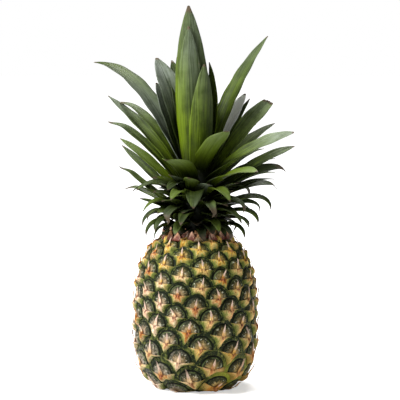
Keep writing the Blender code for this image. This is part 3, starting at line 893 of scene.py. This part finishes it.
def skin_finish(fruit):
    """Sepals: near-black green with grey rays and glints, a tan middle, and grooves of dark green deepened
    to black-green as painted shade.

    Far is the way from the eye's middle to its outline. Its sides are paler at the lower left, as painted
    light from the left, and warmer towards the top and the lower right.
    """
    f = Finish("fruit_skin", 0.42, 0.15, fruit.sepal_colour)
    x, y, _ = f.parts(f.uv("eye"))
    first, second, third = f.parts(f.mark("eye_look"))
    place = f.place()
    across, _, height = f.parts(place)
    coarse = f.noise(place, 330.0)
    grain = f.noise(place, 1000.0, 3.0, 0.65)
    patches = f.noise(place, 130.0, 2.0, 0.5)
    far = (x * x + y * y).power(0.5) + (coarse - 0.5) * 0.10
    rays = f.noise(f.vector(x / (far + 0.02) * 4.5, y / (far + 0.02) * 4.5, first * 30.0 + far * 1.2), 1.6)
    warm = height.between(0.10, 0.15) * 0.7 + across.between(0.0, 0.06) * height.between(0.05, 0.0) * 0.8
    # The left side, where streaks and tan are paler and greyer: painted light from the left.
    cool = across.between(0.02, -0.05)
    streaks = (rays + (coarse - 0.5) * 0.9 + (patches - 0.5) * 0.9).between(0.50, 0.70)
    f.lay(streaks * far.between(0.85, 0.35), f.mix(cool, (0.26, 0.205, 0.080), (0.30, 0.25, 0.165)))
    f.lay((warm + second * 0.2) * 0.4, (0.14, 0.13, 0.026))
    glints = f.noise(place, 480.0, 1.0, 0.5).between(0.56, 0.67) * coarse.between(0.44, 0.58)
    f.lay(glints * far.between(0.90, 0.70) * (0.5 + third * 0.5), (0.62, 0.62, 0.46))
    tan = f.mix(warm, f.mix(cool, (0.50, 0.34, 0.12), (0.52, 0.38, 0.24)), (0.52, 0.35, 0.06))
    centre = (far + (rays - 0.5) * 1.1 + (patches - 0.5) * 0.8).between(0.60, 0.20) * (0.5 + third * 0.5)
    f.lay(centre * y.between(-0.25, 0.05), tan)
    # Paler patches at the lower left: painted light from the left side.
    lower_left_painted_light = across.between(0.005, -0.045) * height.between(0.085, 0.02)
    f.lay(lower_left_painted_light * coarse.between(0.40, 0.65) * 0.55, (0.50, 0.42, 0.34))
    scar = (far + (rays - 0.5) * 0.5).between(0.34, 0.16) * second.between(0.35, 0.6)
    f.lay(scar * 0.7, (0.16, 0.045, 0.018))
    # A ring near the dome's edge, paler green in patches: partly its green rim, partly a painted highlight on
    # it.
    rim = far.near(0.80, 0.06) * (patches + (grain - 0.5) * 0.5).between(0.42, 0.62)
    f.lay(rim * 0.7, f.mix(rays, (0.055, 0.10, 0.018), (0.20, 0.25, 0.09)))
    # The grooves between the eyes: their dark green, deepened to near black as painted shade.
    f.lay((far + (coarse - 0.5) * 0.08).between(0.84, 0.90), fruit.groove_colour)
    lip = (patches + (coarse - 0.5) * 2.0).between(0.42, 0.86)
    lip = f.mix(lip, (0.008, 0.016, 0.003), (0.085, 0.108, 0.018))
    lip = f.mix((grain + (coarse - 0.5) * 0.6).between(0.56, 0.72) * 0.6, lip, (0.27, 0.25, 0.08))
    lip = f.mix(across.between(0.005, 0.03) * height.between(0.045, 0.015) * 0.8, lip, (0.30, 0.32, 0.03))
    f.lay(far.between(0.96, 1.03), lip)
    f.set("Base Color", f.tint(f.colour, 0.45 + grain * 1.1))
    f.set("Roughness", 0.30 + rays * 0.3)
    f.bump(rays * 0.4 + grain * 0.3 + coarse * 0.5, 0.0016)
    return f.material


def bract_finish(fruit):
    """Bracts: cream or yellow in the middle, green at the wings and foot, red where the spike springs.

    Stripes fan out from above the bract. The left side is paler and brighter, and paler still at the lower
    left: painted light from the left, with some pink. The patches of dried skin and ripeness go by place, and
    each bract's two draws turn some of them odd, brown or red. The spike is pink-grey, often with a dark tip.
    """
    f = Finish("eye_bracts", 0.5, 0.15)
    x, y, _ = f.parts(f.uv("eye"))
    first, second, along = f.parts(f.mark("bract_look"))
    place = f.place()
    across, _, height = f.parts(place)
    coarse, grain = f.noise(place, 380.0), f.noise(place, 1200.0)
    patches = f.noise(place, 45.0, 2.0, 0.5)
    rough = coarse - 0.5
    stripes = f.noise(f.vector(x / (1.35 - y) * 9.0, y * 1.2, first * 40.0), 1.5, 4.0)
    stripes = 0.5 + (stripes - 0.5) * 1.5

    ripe = height.between(0.085, 0.15) * 0.9 + across.between(0.0, 0.055) * height.between(0.05, 0.01) * 0.6
    ripe = ripe + (patches - 0.5) * 1.3 + (second - 0.5) * 0.5
    # The left side: paler, pinker tones, partly pink blush and partly painted light from the left.
    left_blush_and_light = across.between(0.02, -0.05)
    f.colour = f.mix(left_blush_and_light, fruit.bract_colour, (0.82, 0.56, 0.37))
    f.lay(ripe.between(0.0, 0.6), fruit.sunny_colour)
    f.lay(first.between(0.5, 0.85) * (0.35 + coarse * 0.5),
          f.mix(second, (0.60, 0.30, 0.25), (0.55, 0.19, 0.02)))
    f.lay((stripes + (grain - 0.5) * 0.5).between(0.50, 0.70) * 0.85,
          f.mix(left_blush_and_light, (0.96, 0.76, 0.30), (0.98, 0.88, 0.70)))
    f.lay((stripes + rough * 0.4).between(0.46, 0.30) * y.between(0.12, -0.20) * 0.75,
          f.mix(second, (0.15, 0.12, 0.02), (0.20, 0.055, 0.010)))

    # Paler at the lower left: painted light from the left side.
    lower_left_painted_light = across.between(0.005, -0.045) * height.between(0.085, 0.02)
    f.lay(lower_left_painted_light * (0.25 + grain * 0.6), (0.92, 0.78, 0.64))
    dried = across.between(0.02, 0.05) * height.between(0.07, 0.02) * coarse.between(0.40, 0.60)
    f.lay(dried * 0.7, (0.56, 0.24, 0.09))
    spread = (x * x + (y + 0.2) * (y + 0.2)).power(0.5) + rough * 0.5
    f.lay(second.between(0.72, 0.78) * spread.between(0.80, 0.35) * 0.55, (0.60, 0.33, 0.04))
    f.lay(first.between(0.72, 0.78) * (spread + (stripes - 0.5) * 0.6).between(0.62, 0.22) * 0.85,
          f.mix(grain, (0.22, 0.05, 0.006), (0.58, 0.22, 0.03)))

    rim = x.size() * 0.95 - y * 0.60 + (stripes - 0.5) * 0.9 + rough * 0.5
    f.lay(rim.between(0.36, 0.84) * 0.8, f.mix(stripes, (0.10, 0.135, 0.016), (0.55, 0.50, 0.17)))
    f.lay(rim.between(0.60, 1.00) * 0.95, f.mix(stripes, (0.026, 0.050, 0.005), (0.15, 0.19, 0.030)))
    middle = x.size() + rough * 0.3
    f.lay(middle.between(0.30, 0.06) * y.near(BRACT_MIDDLE - 0.02, 0.30) * (0.35 + second * 0.5),
          (0.50, 0.19, 0.10))
    root = middle.near(0.13, 0.17) * y.near(BRACT_MIDDLE + 0.02, 0.25)
    f.lay(root * along.between(0.55, 0.1) * (0.8 + first * 0.2), (0.085, 0.012, 0.005))
    low_root = (x.size() + rough * 0.5).between(0.36, 0.08) * y.near(-0.38, 0.17)
    f.lay(low_root * second.between(0.55, 0.75) * 0.8, (0.24, 0.06, 0.010))

    f.lay(along.between(0.22, 0.5), f.mix(grain, (0.50, 0.32, 0.24), (0.86, 0.68, 0.54)))
    f.lay(along.between(0.80, 1.0) * second.between(0.35, 0.6) * 0.85, (0.08, 0.05, 0.035))
    # The lower edge, sinking into the groove: its dark green, deepened to near black in part as painted
    # shade.
    edge = (x * x + y * y + rough * 0.3).between(0.78, 0.94) * y.between(0.1, -0.2)
    f.lay(edge * 0.8, f.mix(coarse, (0.014, 0.030, 0.005), (0.13, 0.17, 0.04)))
    low_right = across.between(-0.02, 0.035) * height.between(0.055, 0.022)
    f.lay(low_right * (0.15 + coarse * 0.30), (0.66, 0.31, 0.07))
    # The left side is also made brighter here: painted light from the left.
    f.set("Base Color", f.tint(f.colour, 0.34 + grain * 0.7 + coarse * 0.75 + left_blush_and_light * 0.12))
    f.set("Roughness", 0.45 + grain * 0.25)
    f.bump(stripes * 0.6 + grain * 0.25 + coarse * 0.5, 0.0020)
    return f.material


# ---- the crown


def stem_radius(height):
    """The stem's radius at a height, straight between the outline's points."""
    radii, heights = zip(*STEM_OUTLINE, strict=True)
    return float(np.interp(height, heights, radii))


def span(share, ends):
    """The value at this share of the way between two."""
    return np.interp(share, (0, 1), ends)


def ruled_leaves():
    """The leaves that follow the spiral: the back of the crown, then the hooked ones around its foot."""
    draw = np.random.default_rng(SEED)
    leaves = []
    for i in range(BACK_LEAVES):
        share = i / (BACK_LEAVES - 1)
        turn = BACK_FIRST_TURN + (GOLDEN_ANGLE * i + draw.uniform(-6, 6)) % BACK_SPREAD
        length = np.interp(share, (0, 0.7, 1), BACK_LEAF_LENGTH)
        lift = span(share, BACK_LEAF_LIFT) + draw.uniform(-4, 4)
        tip_lift = lift - span(share, BACK_LEAF_FALL)
        leaves.append((turn, span(share, BACK_LEAF_ROOT), length, span(share, BACK_LEAF_WIDTH), lift,
                       tip_lift, BACK_BEND, 0, 0, POINTED, BACK_LOOKS[i % 3]))
    for i in range(HOOKED_LEAVES):
        share = i / (HOOKED_LEAVES - 1)
        turn = GOLDEN_ANGLE * i + draw.uniform(-8, 8)
        length = span(share, HOOKED_LEAF_LENGTH) * draw.uniform(0.9, 1.1)
        root = span(share**HOOKED_CROWDING, HOOKED_LEAF_ROOT)
        lift = span(share, HOOKED_LEAF_LIFT) + draw.uniform(-5, 5)
        tip_lift = span(share, HOOKED_TIP_LIFT) + draw.uniform(-10, 10)
        leaves.append((turn, root, length, span(share, HOOKED_LEAF_WIDTH), lift,
                       tip_lift, HOOKED_BEND, 0, 0, POINTED, HOOKED_LOOKS[i % 3]))
    return leaves


def foot_leaves():
    """The small leaves between the others, close around the stem."""
    draw = np.random.default_rng(SEED + 2)
    leaves = []
    for i in range(FOOT_LEAVES):
        share = i / (FOOT_LEAVES - 1)
        turn = FOOT_FIRST_TURN + GOLDEN_ANGLE * i + draw.uniform(-10, 10)
        lift = span(share, FOOT_LEAF_LIFT) + draw.uniform(-6, 6)
        tip_lift = span(share, FOOT_TIP_LIFT) + draw.uniform(-14, 14)
        length = span(share, FOOT_LEAF_LENGTH) * draw.uniform(0.85, 1.15)
        leaves.append((turn, span(share, FOOT_LEAF_ROOT), length, span(share, FOOT_LEAF_WIDTH), lift,
                       tip_lift, FOOT_BEND, 0, draw.uniform(-15, 15), FOOT_FULLNESS, FOOT_LOOKS[i % 4]))
    return leaves


def rolled(across, face, angle):
    """Both directions turned about the leaf's mid-rib by these angles."""
    cos, sin = np.cos(angle)[:, None], np.sin(angle)[:, None]
    return across * cos + face * sin, face * cos - across * sin


def leaf_path(leaf, way):
    """Points along a leaf's mid-rib, with the directions across it and out of its upper face.

    The lift falls from its value at the root to its value at the tip as a power of the way along, and the
    points add up the steps taken at that lift. The twist grows with the square root of the way.
    """
    turn, root, length, _, lift, tip_lift, bend, lean, twist = leaf[:9]
    fine = np.linspace(0, 1, 97)
    turn = math.radians(turn)
    slope = np.radians(lift + (tip_lift - lift) * fine**bend)
    out = np.cumsum(np.cos(slope)) * length / len(fine) + stem_radius(root) - ROOT_DEPTH
    up = np.cumsum(np.sin(slope)) * length / len(fine) + root
    slope, out, up = (np.interp(way, fine, value) for value in (slope, out, up))
    across = np.tile([-math.sin(turn), math.cos(turn), 0], (len(way), 1))
    middle = np.column_stack([out * math.cos(turn), out * math.sin(turn), up])
    middle += across * (way * length * math.tan(math.radians(lean)))[:, None]
    face = np.column_stack([-np.sin(slope) * math.cos(turn), -np.sin(slope) * math.sin(turn), np.cos(slope)])
    return middle, *rolled(across, face, np.radians(twist * way**0.5))


def leaf_width(way, fullness):
    """Share of the full width: a little drawn in at the root, fullest before the middle, then a taper."""
    clasp = 1 - ROOT_TUCK * (1 - np.clip(way / FULLEST_WAY, 0, 1)) ** 2
    beyond = np.clip((way - FULLEST_WAY) / (1 - FULLEST_WAY), 0, TIP_WAY)
    return clasp * (1 - beyond**fullness) ** TAPER


def leaf_look(s, way, length, look, draw):
    """For each point of a blade's two sheets: how green it is, its bloom and how dry.

    Green may fall off to one side: the left half greener, as painted light from the left. Bloom grows, or
    falls, from the root towards the tip, on each face by its own share. Dryness rises over the last
    millimetres of the way.
    """
    fresh, below, above, dry, _ = look
    dryness = np.clip(1 - (1 - way) * length / (dry * draw.uniform(0.7, 1.3) + 0.01), 0, 1)
    both = np.concatenate([s, s[:, ::-1]], axis=1)
    under = np.concatenate([np.zeros_like(s), np.ones_like(s)], axis=1)
    # A negative fresh share makes the left half greener and the right darker: painted light from the left.
    green = np.clip(0.5 + 0.5 * fresh * np.where(fresh < 0, both, 1.0), 0, 1) + draw.uniform(-0.12, 0.12)
    rise = np.clip((way - 0.3) / 0.55, 0, 1) ** 1.5
    below, above = (abs(share) * (rise if share > 0 else 1 - rise) for share in (below, above))
    bloom = under * below + (1 - under) * above
    marks = np.stack(np.broadcast_arrays(green, bloom, dryness), axis=-1).reshape(-1, 3)
    return np.concatenate([marks, marks[:1], marks[-1:]])


def leaf_blade(shapes, leaf, crown, draw):
    """One closed blade: at each ring a channel, thick along its keel, and back below it.

    Across the blade the channel rises by a power of the share of the half width, to the height of an arc
    of the cup angle, which opens towards the tip. The edges wave a little, by a sine of the length along,
    and the blade rolls about its mid-rib towards the tip. A dry tip hooks down by the square of its own
    way, and a cut end is ragged by a product of sines.
    """
    length, width = leaf[2:4]
    look = LOOKS[leaf[10]]
    dry, kept = look[3:]
    steps, half_count = LONG_GRID if length > SHORT_LEAF else SHORT_GRID
    way = np.linspace(0, 1, steps) ** 0.9 * kept
    rows = way[:, None]
    middle, across, face = leaf_path(leaf, way)
    hook = np.clip((rows / kept - HOOK_START) / (1 - HOOK_START), 0, 1) ** 2 * (dry > HOOK_DRY)
    middle = middle + HOOK_DROP * (0.4 * across * np.sin(hook * 3) - face * hook)
    across, face = rolled(across, face, math.radians(draw.uniform(-5, 5)) * way**1.5)

    half = width / 2 * leaf_width(rows, leaf[9])
    cup = np.radians(ROOT_CUP + (TIP_CUP - ROOT_CUP) * rows**0.6)
    s = np.linspace(-1, 1, 2 * half_count - 1)[None, :]
    side = half * np.sin(cup * s) / cup
    depth = half * (1 - np.cos(cup)) / cup * np.abs(s) ** (FRONT_KEEL if leaf[10] == "front" else KEEL)
    wave_start, _ = draw.uniform(0, 6, 2)
    wave = np.sin(rows * length / EDGE_WAVE_LENGTH + wave_start + 2.0 * np.sign(s))
    depth = depth + EDGE_WAVE * half * np.abs(s) ** 3 * wave * np.clip(rows * 3, 0, 1)
    blade, edge = crown.blade / MM, crown.edge / MM
    thick = (edge + (blade - edge) * (1 - s**2)) / 2 * (1 - 0.5 * rows)
    ragged = RAGGED * (kept < 1) * np.sin(s * 9.0 + 1) * np.cos(s * 5.0) * (rows / kept) ** 12
    along = np.gradient(middle, axis=0)
    along /= np.linalg.norm(along, axis=1, keepdims=True)

    def sheet(lift):
        moves = ((across, side), (face, lift), (along, ragged))
        return middle[:, None, :] + sum(ahead[:, None, :] * far[..., None] for ahead, far in moves)

    shapes.add_blade(sheet(depth + thick), sheet(depth - thick), along[-1] * 0.4,
                     s * half * MAP_SCALE, rows * length * MAP_SCALE,
                     leaf_look(s, rows / kept, length, look, draw))


def crown_leaves(crown, name, leaves):
    """Every blade of a list, each a closed shell rooted in the stem."""
    draw = np.random.default_rng(SEED + len(leaves))
    shapes = Shapes()
    for leaf in leaves:
        leaf_blade(shapes, leaf, crown, draw)
    return shapes.piece(name, "blade", "leaf_look", leaf_finish(crown, name))


def leaf_finish(crown, name):
    """Leaf green, bright where it is fresh in its middle, with fine lines along it, bloom and a dry tip.

    The map gives the way across and along the blade, so that lines and bands run with it. The leaf is
    darker towards its root, where its neighbours shade it.
    """
    f = Finish(name, 0.4, 0.11)
    aside, way, _ = f.parts(f.uv("blade"))
    green, bloom, dry = f.parts(f.mark("leaf_look"))
    place = f.place()
    lines = f.noise(f.vector(aside * 85.0, way * 3.0, green * 9.0), 1.0)
    fine = f.noise(f.vector(aside * 160.0, way * 5.0, 0.0), 1.0, 1.0, 0.5)
    clouds = f.noise(place, 60.0)
    bands = f.noise(f.vector(aside * 32.0, way * 1.2, green * 9.0), 1.0, 2.0, 0.5)
    # On leaves with a negative fresh share the left half is greener: painted light from the left.
    fresh = (green + (lines - 0.5) * 0.6 + (bands - 0.5) * 0.5 + (clouds - 0.5) * 0.7).between(0.34, 1.02)
    fresh = fresh * (0.30 + way.near(0.58, 0.85) * 0.90)
    f.colour = f.mix(fresh, crown.leaf_colour, crown.fresh_colour)
    f.lay(bloom * (0.30 + fine * 0.7) * (clouds + lines * 0.6).between(0.30, 1.00), crown.silver_colour)
    # Near white where the bloom is thickest, on the white leaf: silver bloom, brightened as painted light.
    f.lay(bloom.between(1.4, 2.0) * (0.7 + fine), (1.0, 1.0, 0.96))
    f.lay(f.noise(place, 420.0, 2.0, 0.5).between(0.68, 0.76) * 0.5, (0.16, 0.13, 0.06))
    f.lay((dry + (lines - 0.5) * 0.5).between(0.15, 0.7), f.mix(fine, crown.dry_colour, (0.17, 0.13, 0.08)))
    shade = 0.10 + way.between(0.05, 0.40) * 0.70 + way.between(0.35, 1.30) * 0.35
    f.set("Base Color", f.tint(f.colour, shade * (0.45 + lines * 0.55 + bands * 0.45)))
    f.set("Roughness", 0.34 + bloom * 0.15 + clouds * 0.12)
    f.bump(bands, 0.0012)
    return f.material


def turned(radius, height):
    """A grid of points: rows of radii turned about Z at these heights, which may vary around the row."""
    turn = np.arange(radius.shape[1]) * math.tau / radius.shape[1]
    return np.stack(np.broadcast_arrays(radius * np.cos(turn), radius * np.sin(turn), height), axis=-1)


def crown_stem(crown):
    """The stem: the outline's radii turned about Z, waved by a sine, with a closed foot and top."""
    radii, heights = (np.array(column) for column in zip(*STEM_OUTLINE, strict=True))
    height = np.linspace(heights[0], heights[-1], 40)[:, None]
    turn = np.arange(STEM_SIDES) * math.tau / STEM_SIDES
    grid = turned(np.interp(height, heights, radii) + 0.5 * np.sin(turn * 13 + height * 0.6), height)
    ends = [[0, 0, heights[0]], [0, 0, heights[-1] + 1]]
    shapes = Shapes()
    # The map is all naught, so the leaf finish paints the whole stem with the painted shade of a leaf's root.
    shapes.add_rings(grid, ends, np.zeros((grid.size // 3 + 2, 2)), (0.0, 0.0, 0.0))
    return shapes.piece("crown_stem", "blade", "leaf_look", leaf_finish(crown, "crown_stem"))


def stalk_end():
    """The stalk's cut end: a disc whose face is nearly flat at the ground, with a rounded rim and rough side.

    Rings of points run out over the face, up the side and in over the hidden top. The face has pits, where
    a ripple stands above a limit.
    """
    radius = np.concatenate([np.linspace(1, 14.2, 14), [14.7, 15, 15, 15, 14.8], np.linspace(13, 1, 5)])
    height = np.concatenate([np.zeros(14), [0.1, 0.5, 2, 3.5, 4.0], np.full(5, 4.0)])[:, None]
    grid = turned(np.tile(radius[:, None], STALK_SIDES), height)
    pits = np.clip(ripple(grid * [1, 1, 0], 2.2, 9) - 0.35, 0, 1)
    grid[..., 2] += 0.5 * pits * (height < 0.05)
    flat = np.concatenate([grid[..., :2].reshape(-1, 2), np.zeros((2, 2))]) / STALK_RADIUS
    shapes = Shapes()
    shapes.add_rings(grid, [[0, 0, 0], [0, 0, STALK_DEPTH]], flat, (0.0, 0.0, 0.0))
    return shapes.piece("stalk_end_cut", "cut", "cut_look", stalk_finish())


def stalk_finish():
    """Cut flesh: pale fibres seen end on as dots in a tan ground, browner towards the bark."""
    f = Finish("stalk_end_cut", 0.8, ground=(0.44, 0.30, 0.15))
    x, y, _ = f.parts(f.uv("cut"))
    dots = f.noise(f.place(), 700.0)
    f.lay(dots.between(0.45, 0.62), (0.66, 0.54, 0.34))
    f.lay((x * x + y * y).power(0.5).between(0.72, 0.98), (0.16, 0.10, 0.045))
    f.set("Base Color", f.colour)
    f.bump(dots, 0.0006)
    return f.material


# ---- operators


class PINEAPPLE_OT_fruit_skin(bpy.types.Operator):
    """Make the skin of eyes in place of the plain fruit"""

    bl_idname = "pineapple.fruit_skin"
    bl_label = "Fruit skin"

    def execute(self, context):
        skin = fruit_skin(context.scene.pineapple_fruit)
        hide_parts("fruit")
        return {"FINISHED"}


class PINEAPPLE_OT_eye_bracts(bpy.types.Operator):
    """Make the bract of every eye, with its wings and spike"""

    bl_idname = "pineapple.eye_bracts"
    bl_label = "Eye bracts"

    def execute(self, context):
        bracts = eye_bracts(context.scene.pineapple_fruit)
        return {"FINISHED"}


class PINEAPPLE_OT_collar_bracts(bpy.types.Operator):
    """Make the small bracts around the foot of the crown"""

    bl_idname = "pineapple.collar_bracts"
    bl_label = "Collar bracts"

    def execute(self, context):
        scales = collar_bracts()
        return {"FINISHED"}


class PINEAPPLE_OT_crown_leaves(bpy.types.Operator):
    """Make the crown: its stem, its long leaves and the hooked ones at its foot"""

    bl_idname = "pineapple.crown_leaves"
    bl_label = "Crown leaves"

    def execute(self, context):
        crown = context.scene.pineapple_crown
        ruled = ruled_leaves()
        pieces = [crown_leaves(crown, "long_leaves", [*LISTED_LEAVES, *ruled[:BACK_LEAVES]]),
                  crown_leaves(crown, "hooked_leaves", ruled[BACK_LEAVES:]),
                  crown_leaves(crown, "foot_leaves", foot_leaves()),
                  crown_stem(crown)]
        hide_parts("crown")
        return {"FINISHED"}


class PINEAPPLE_OT_stalk_end(bpy.types.Operator):
    """Make the stalk's cut end in the fruit's foot"""

    bl_idname = "pineapple.stalk_end"
    bl_label = "Stalk end"

    def execute(self, context):
        cut = stalk_end()
        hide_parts("stalk_end")
        return {"FINISHED"}


class PINEAPPLE_OT_stage(bpy.types.Operator):
    """Make the floor, the lights and the camera"""

    bl_idname = "pineapple.stage"
    bl_label = "Stage"

    def execute(self, context):
        stage = context.scene.pineapple_stage
        make_floor(stage)
        make_world(context.scene, stage)
        for name, (place, size) in LIGHTS.items():
            area_light(context.scene, name, place, getattr(stage, name + "_power"), size)
        make_camera(context.scene)
        return {"FINISHED"}


def make_floor(stage):
    """A square floor, which glows a little where the camera sees it, more so away from the fruit."""
    f = Finish("floor", 0.9)
    f.set("Base Color", stage.floor_colour)
    f.set("Emission Color", (1, 1, 1))
    x, y, _ = f.parts(f.place())
    seen = f.term("LightPath", {}, output="Is Camera Ray")
    f.set("Emission Strength", seen * (0.50 + (x * x + y * y).power(0.5).between(0.25, 1.6) * 0.6))
    mesh = bpy.data.meshes.new("floor")
    corners = [(-1, -1), (1, -1), (1, 1), (-1, 1)]
    mesh.from_pydata([(x * FLOOR_REACH, y * FLOOR_REACH, 0) for x, y in corners], [], [(0, 1, 2, 3)])
    mesh.materials.append(f.material)
    floor = bpy.data.objects.new("floor", mesh)
    bpy.context.scene.collection.objects.link(floor)


def area_light(scene, name, place, power, size):
    """A square light that faces the middle of the fruit."""
    light = bpy.data.lights.new(name, "AREA")
    light.energy, light.size = power, size
    lamp = bpy.data.objects.new(name, light)
    lamp.location = place
    aim = np.subtract(LIGHT_AIM, place)
    down = math.pi - math.acos(aim[2] / np.linalg.norm(aim))
    lamp.rotation_euler = (down, 0, math.atan2(aim[1], aim[0]) - math.pi / 2)
    scene.collection.objects.link(lamp)


def make_world(scene, stage):
    """A white surround for the camera, and an even faint light for all else."""
    world = bpy.data.worlds.new("studio")
    world.use_nodes = True
    nodes, links = world.node_tree.nodes, world.node_tree.links
    surround, seen = nodes["Background"], nodes.new("ShaderNodeBackground")
    surround.inputs["Strength"].default_value = stage.surround
    for background in (surround, seen):
        background.inputs["Color"].default_value = (1, 1, 1, 1)
    choose = nodes.new("ShaderNodeMixShader")
    links.new(nodes.new("ShaderNodeLightPath").outputs["Is Camera Ray"], choose.inputs[0])
    links.new(surround.outputs[0], choose.inputs[1])
    links.new(seen.outputs[0], choose.inputs[2])
    links.new(choose.outputs[0], nodes["World Output"].inputs["Surface"])
    scene.world = world
    scene.view_settings.view_transform = "Standard"


def make_camera(scene):
    """A long lens a little above level, straight at the fruit."""
    lens = bpy.data.cameras.new("camera")
    lens.lens, lens.sensor_width, lens.clip_end = CAMERA_LENS, 36.0, 200.0
    camera = bpy.data.objects.new("camera", lens)
    back = np.array([0, -math.cos(CAMERA_RISE), math.sin(CAMERA_RISE)])
    camera.location = CAMERA_AIM + CAMERA_DISTANCE * back
    camera.rotation_euler = (math.pi / 2 - CAMERA_RISE, 0, 0)
    scene.collection.objects.link(camera)
    scene.camera = camera


class PINEAPPLE_PT_panel(bpy.types.Panel):
    """Sizes, colours and pieces of the pineapple"""

    bl_idname = "PINEAPPLE_PT_panel"
    bl_label = "Pineapple"
    bl_space_type = "VIEW_3D"
    bl_region_type = "UI"
    bl_category = "Pineapple"

    def draw(self, context):
        for name in SETTINGS:
            settings = getattr(context.scene, name)
            box = self.layout.box()
            for row in settings.bl_rna.properties:
                if row.identifier not in ("rna_type", "name"):
                    box.prop(settings, row.identifier)
        for maker in OPERATORS:
            self.layout.operator(maker.bl_idname)


SETTINGS = {
    "pineapple_fruit": PineappleFruitSettings,
    "pineapple_crown": PineappleCrownSettings,
    "pineapple_stage": PineappleStageSettings,
}
OPERATORS = (
    PINEAPPLE_OT_fruit_skin,
    PINEAPPLE_OT_eye_bracts,
    PINEAPPLE_OT_collar_bracts,
    PINEAPPLE_OT_crown_leaves,
    PINEAPPLE_OT_stalk_end,
    PINEAPPLE_OT_stage,
)


def register():
    """Make the classes known, and give every scene their settings."""
    for made in (*SETTINGS.values(), *OPERATORS, PINEAPPLE_PT_panel):
        bpy.utils.register_class(made)
    for name, settings in SETTINGS.items():
        setattr(bpy.types.Scene, name, PointerProperty(type=settings))


def unregister():
    """Take back what register did, in the opposite order."""
    for name in SETTINGS:
        delattr(bpy.types.Scene, name)
    for made in (PINEAPPLE_PT_panel, *reversed(OPERATORS), *SETTINGS.values()):
        bpy.utils.unregister_class(made)


def main():
    """Make every piece and the stage."""
    register()
    bpy.ops.pineapple.fruit_skin()
    bpy.ops.pineapple.eye_bracts()
    bpy.ops.pineapple.collar_bracts()
    bpy.ops.pineapple.crown_leaves()
    bpy.ops.pineapple.stalk_end()
    bpy.ops.pineapple.stage()


if __name__ == "__main__":
    main()
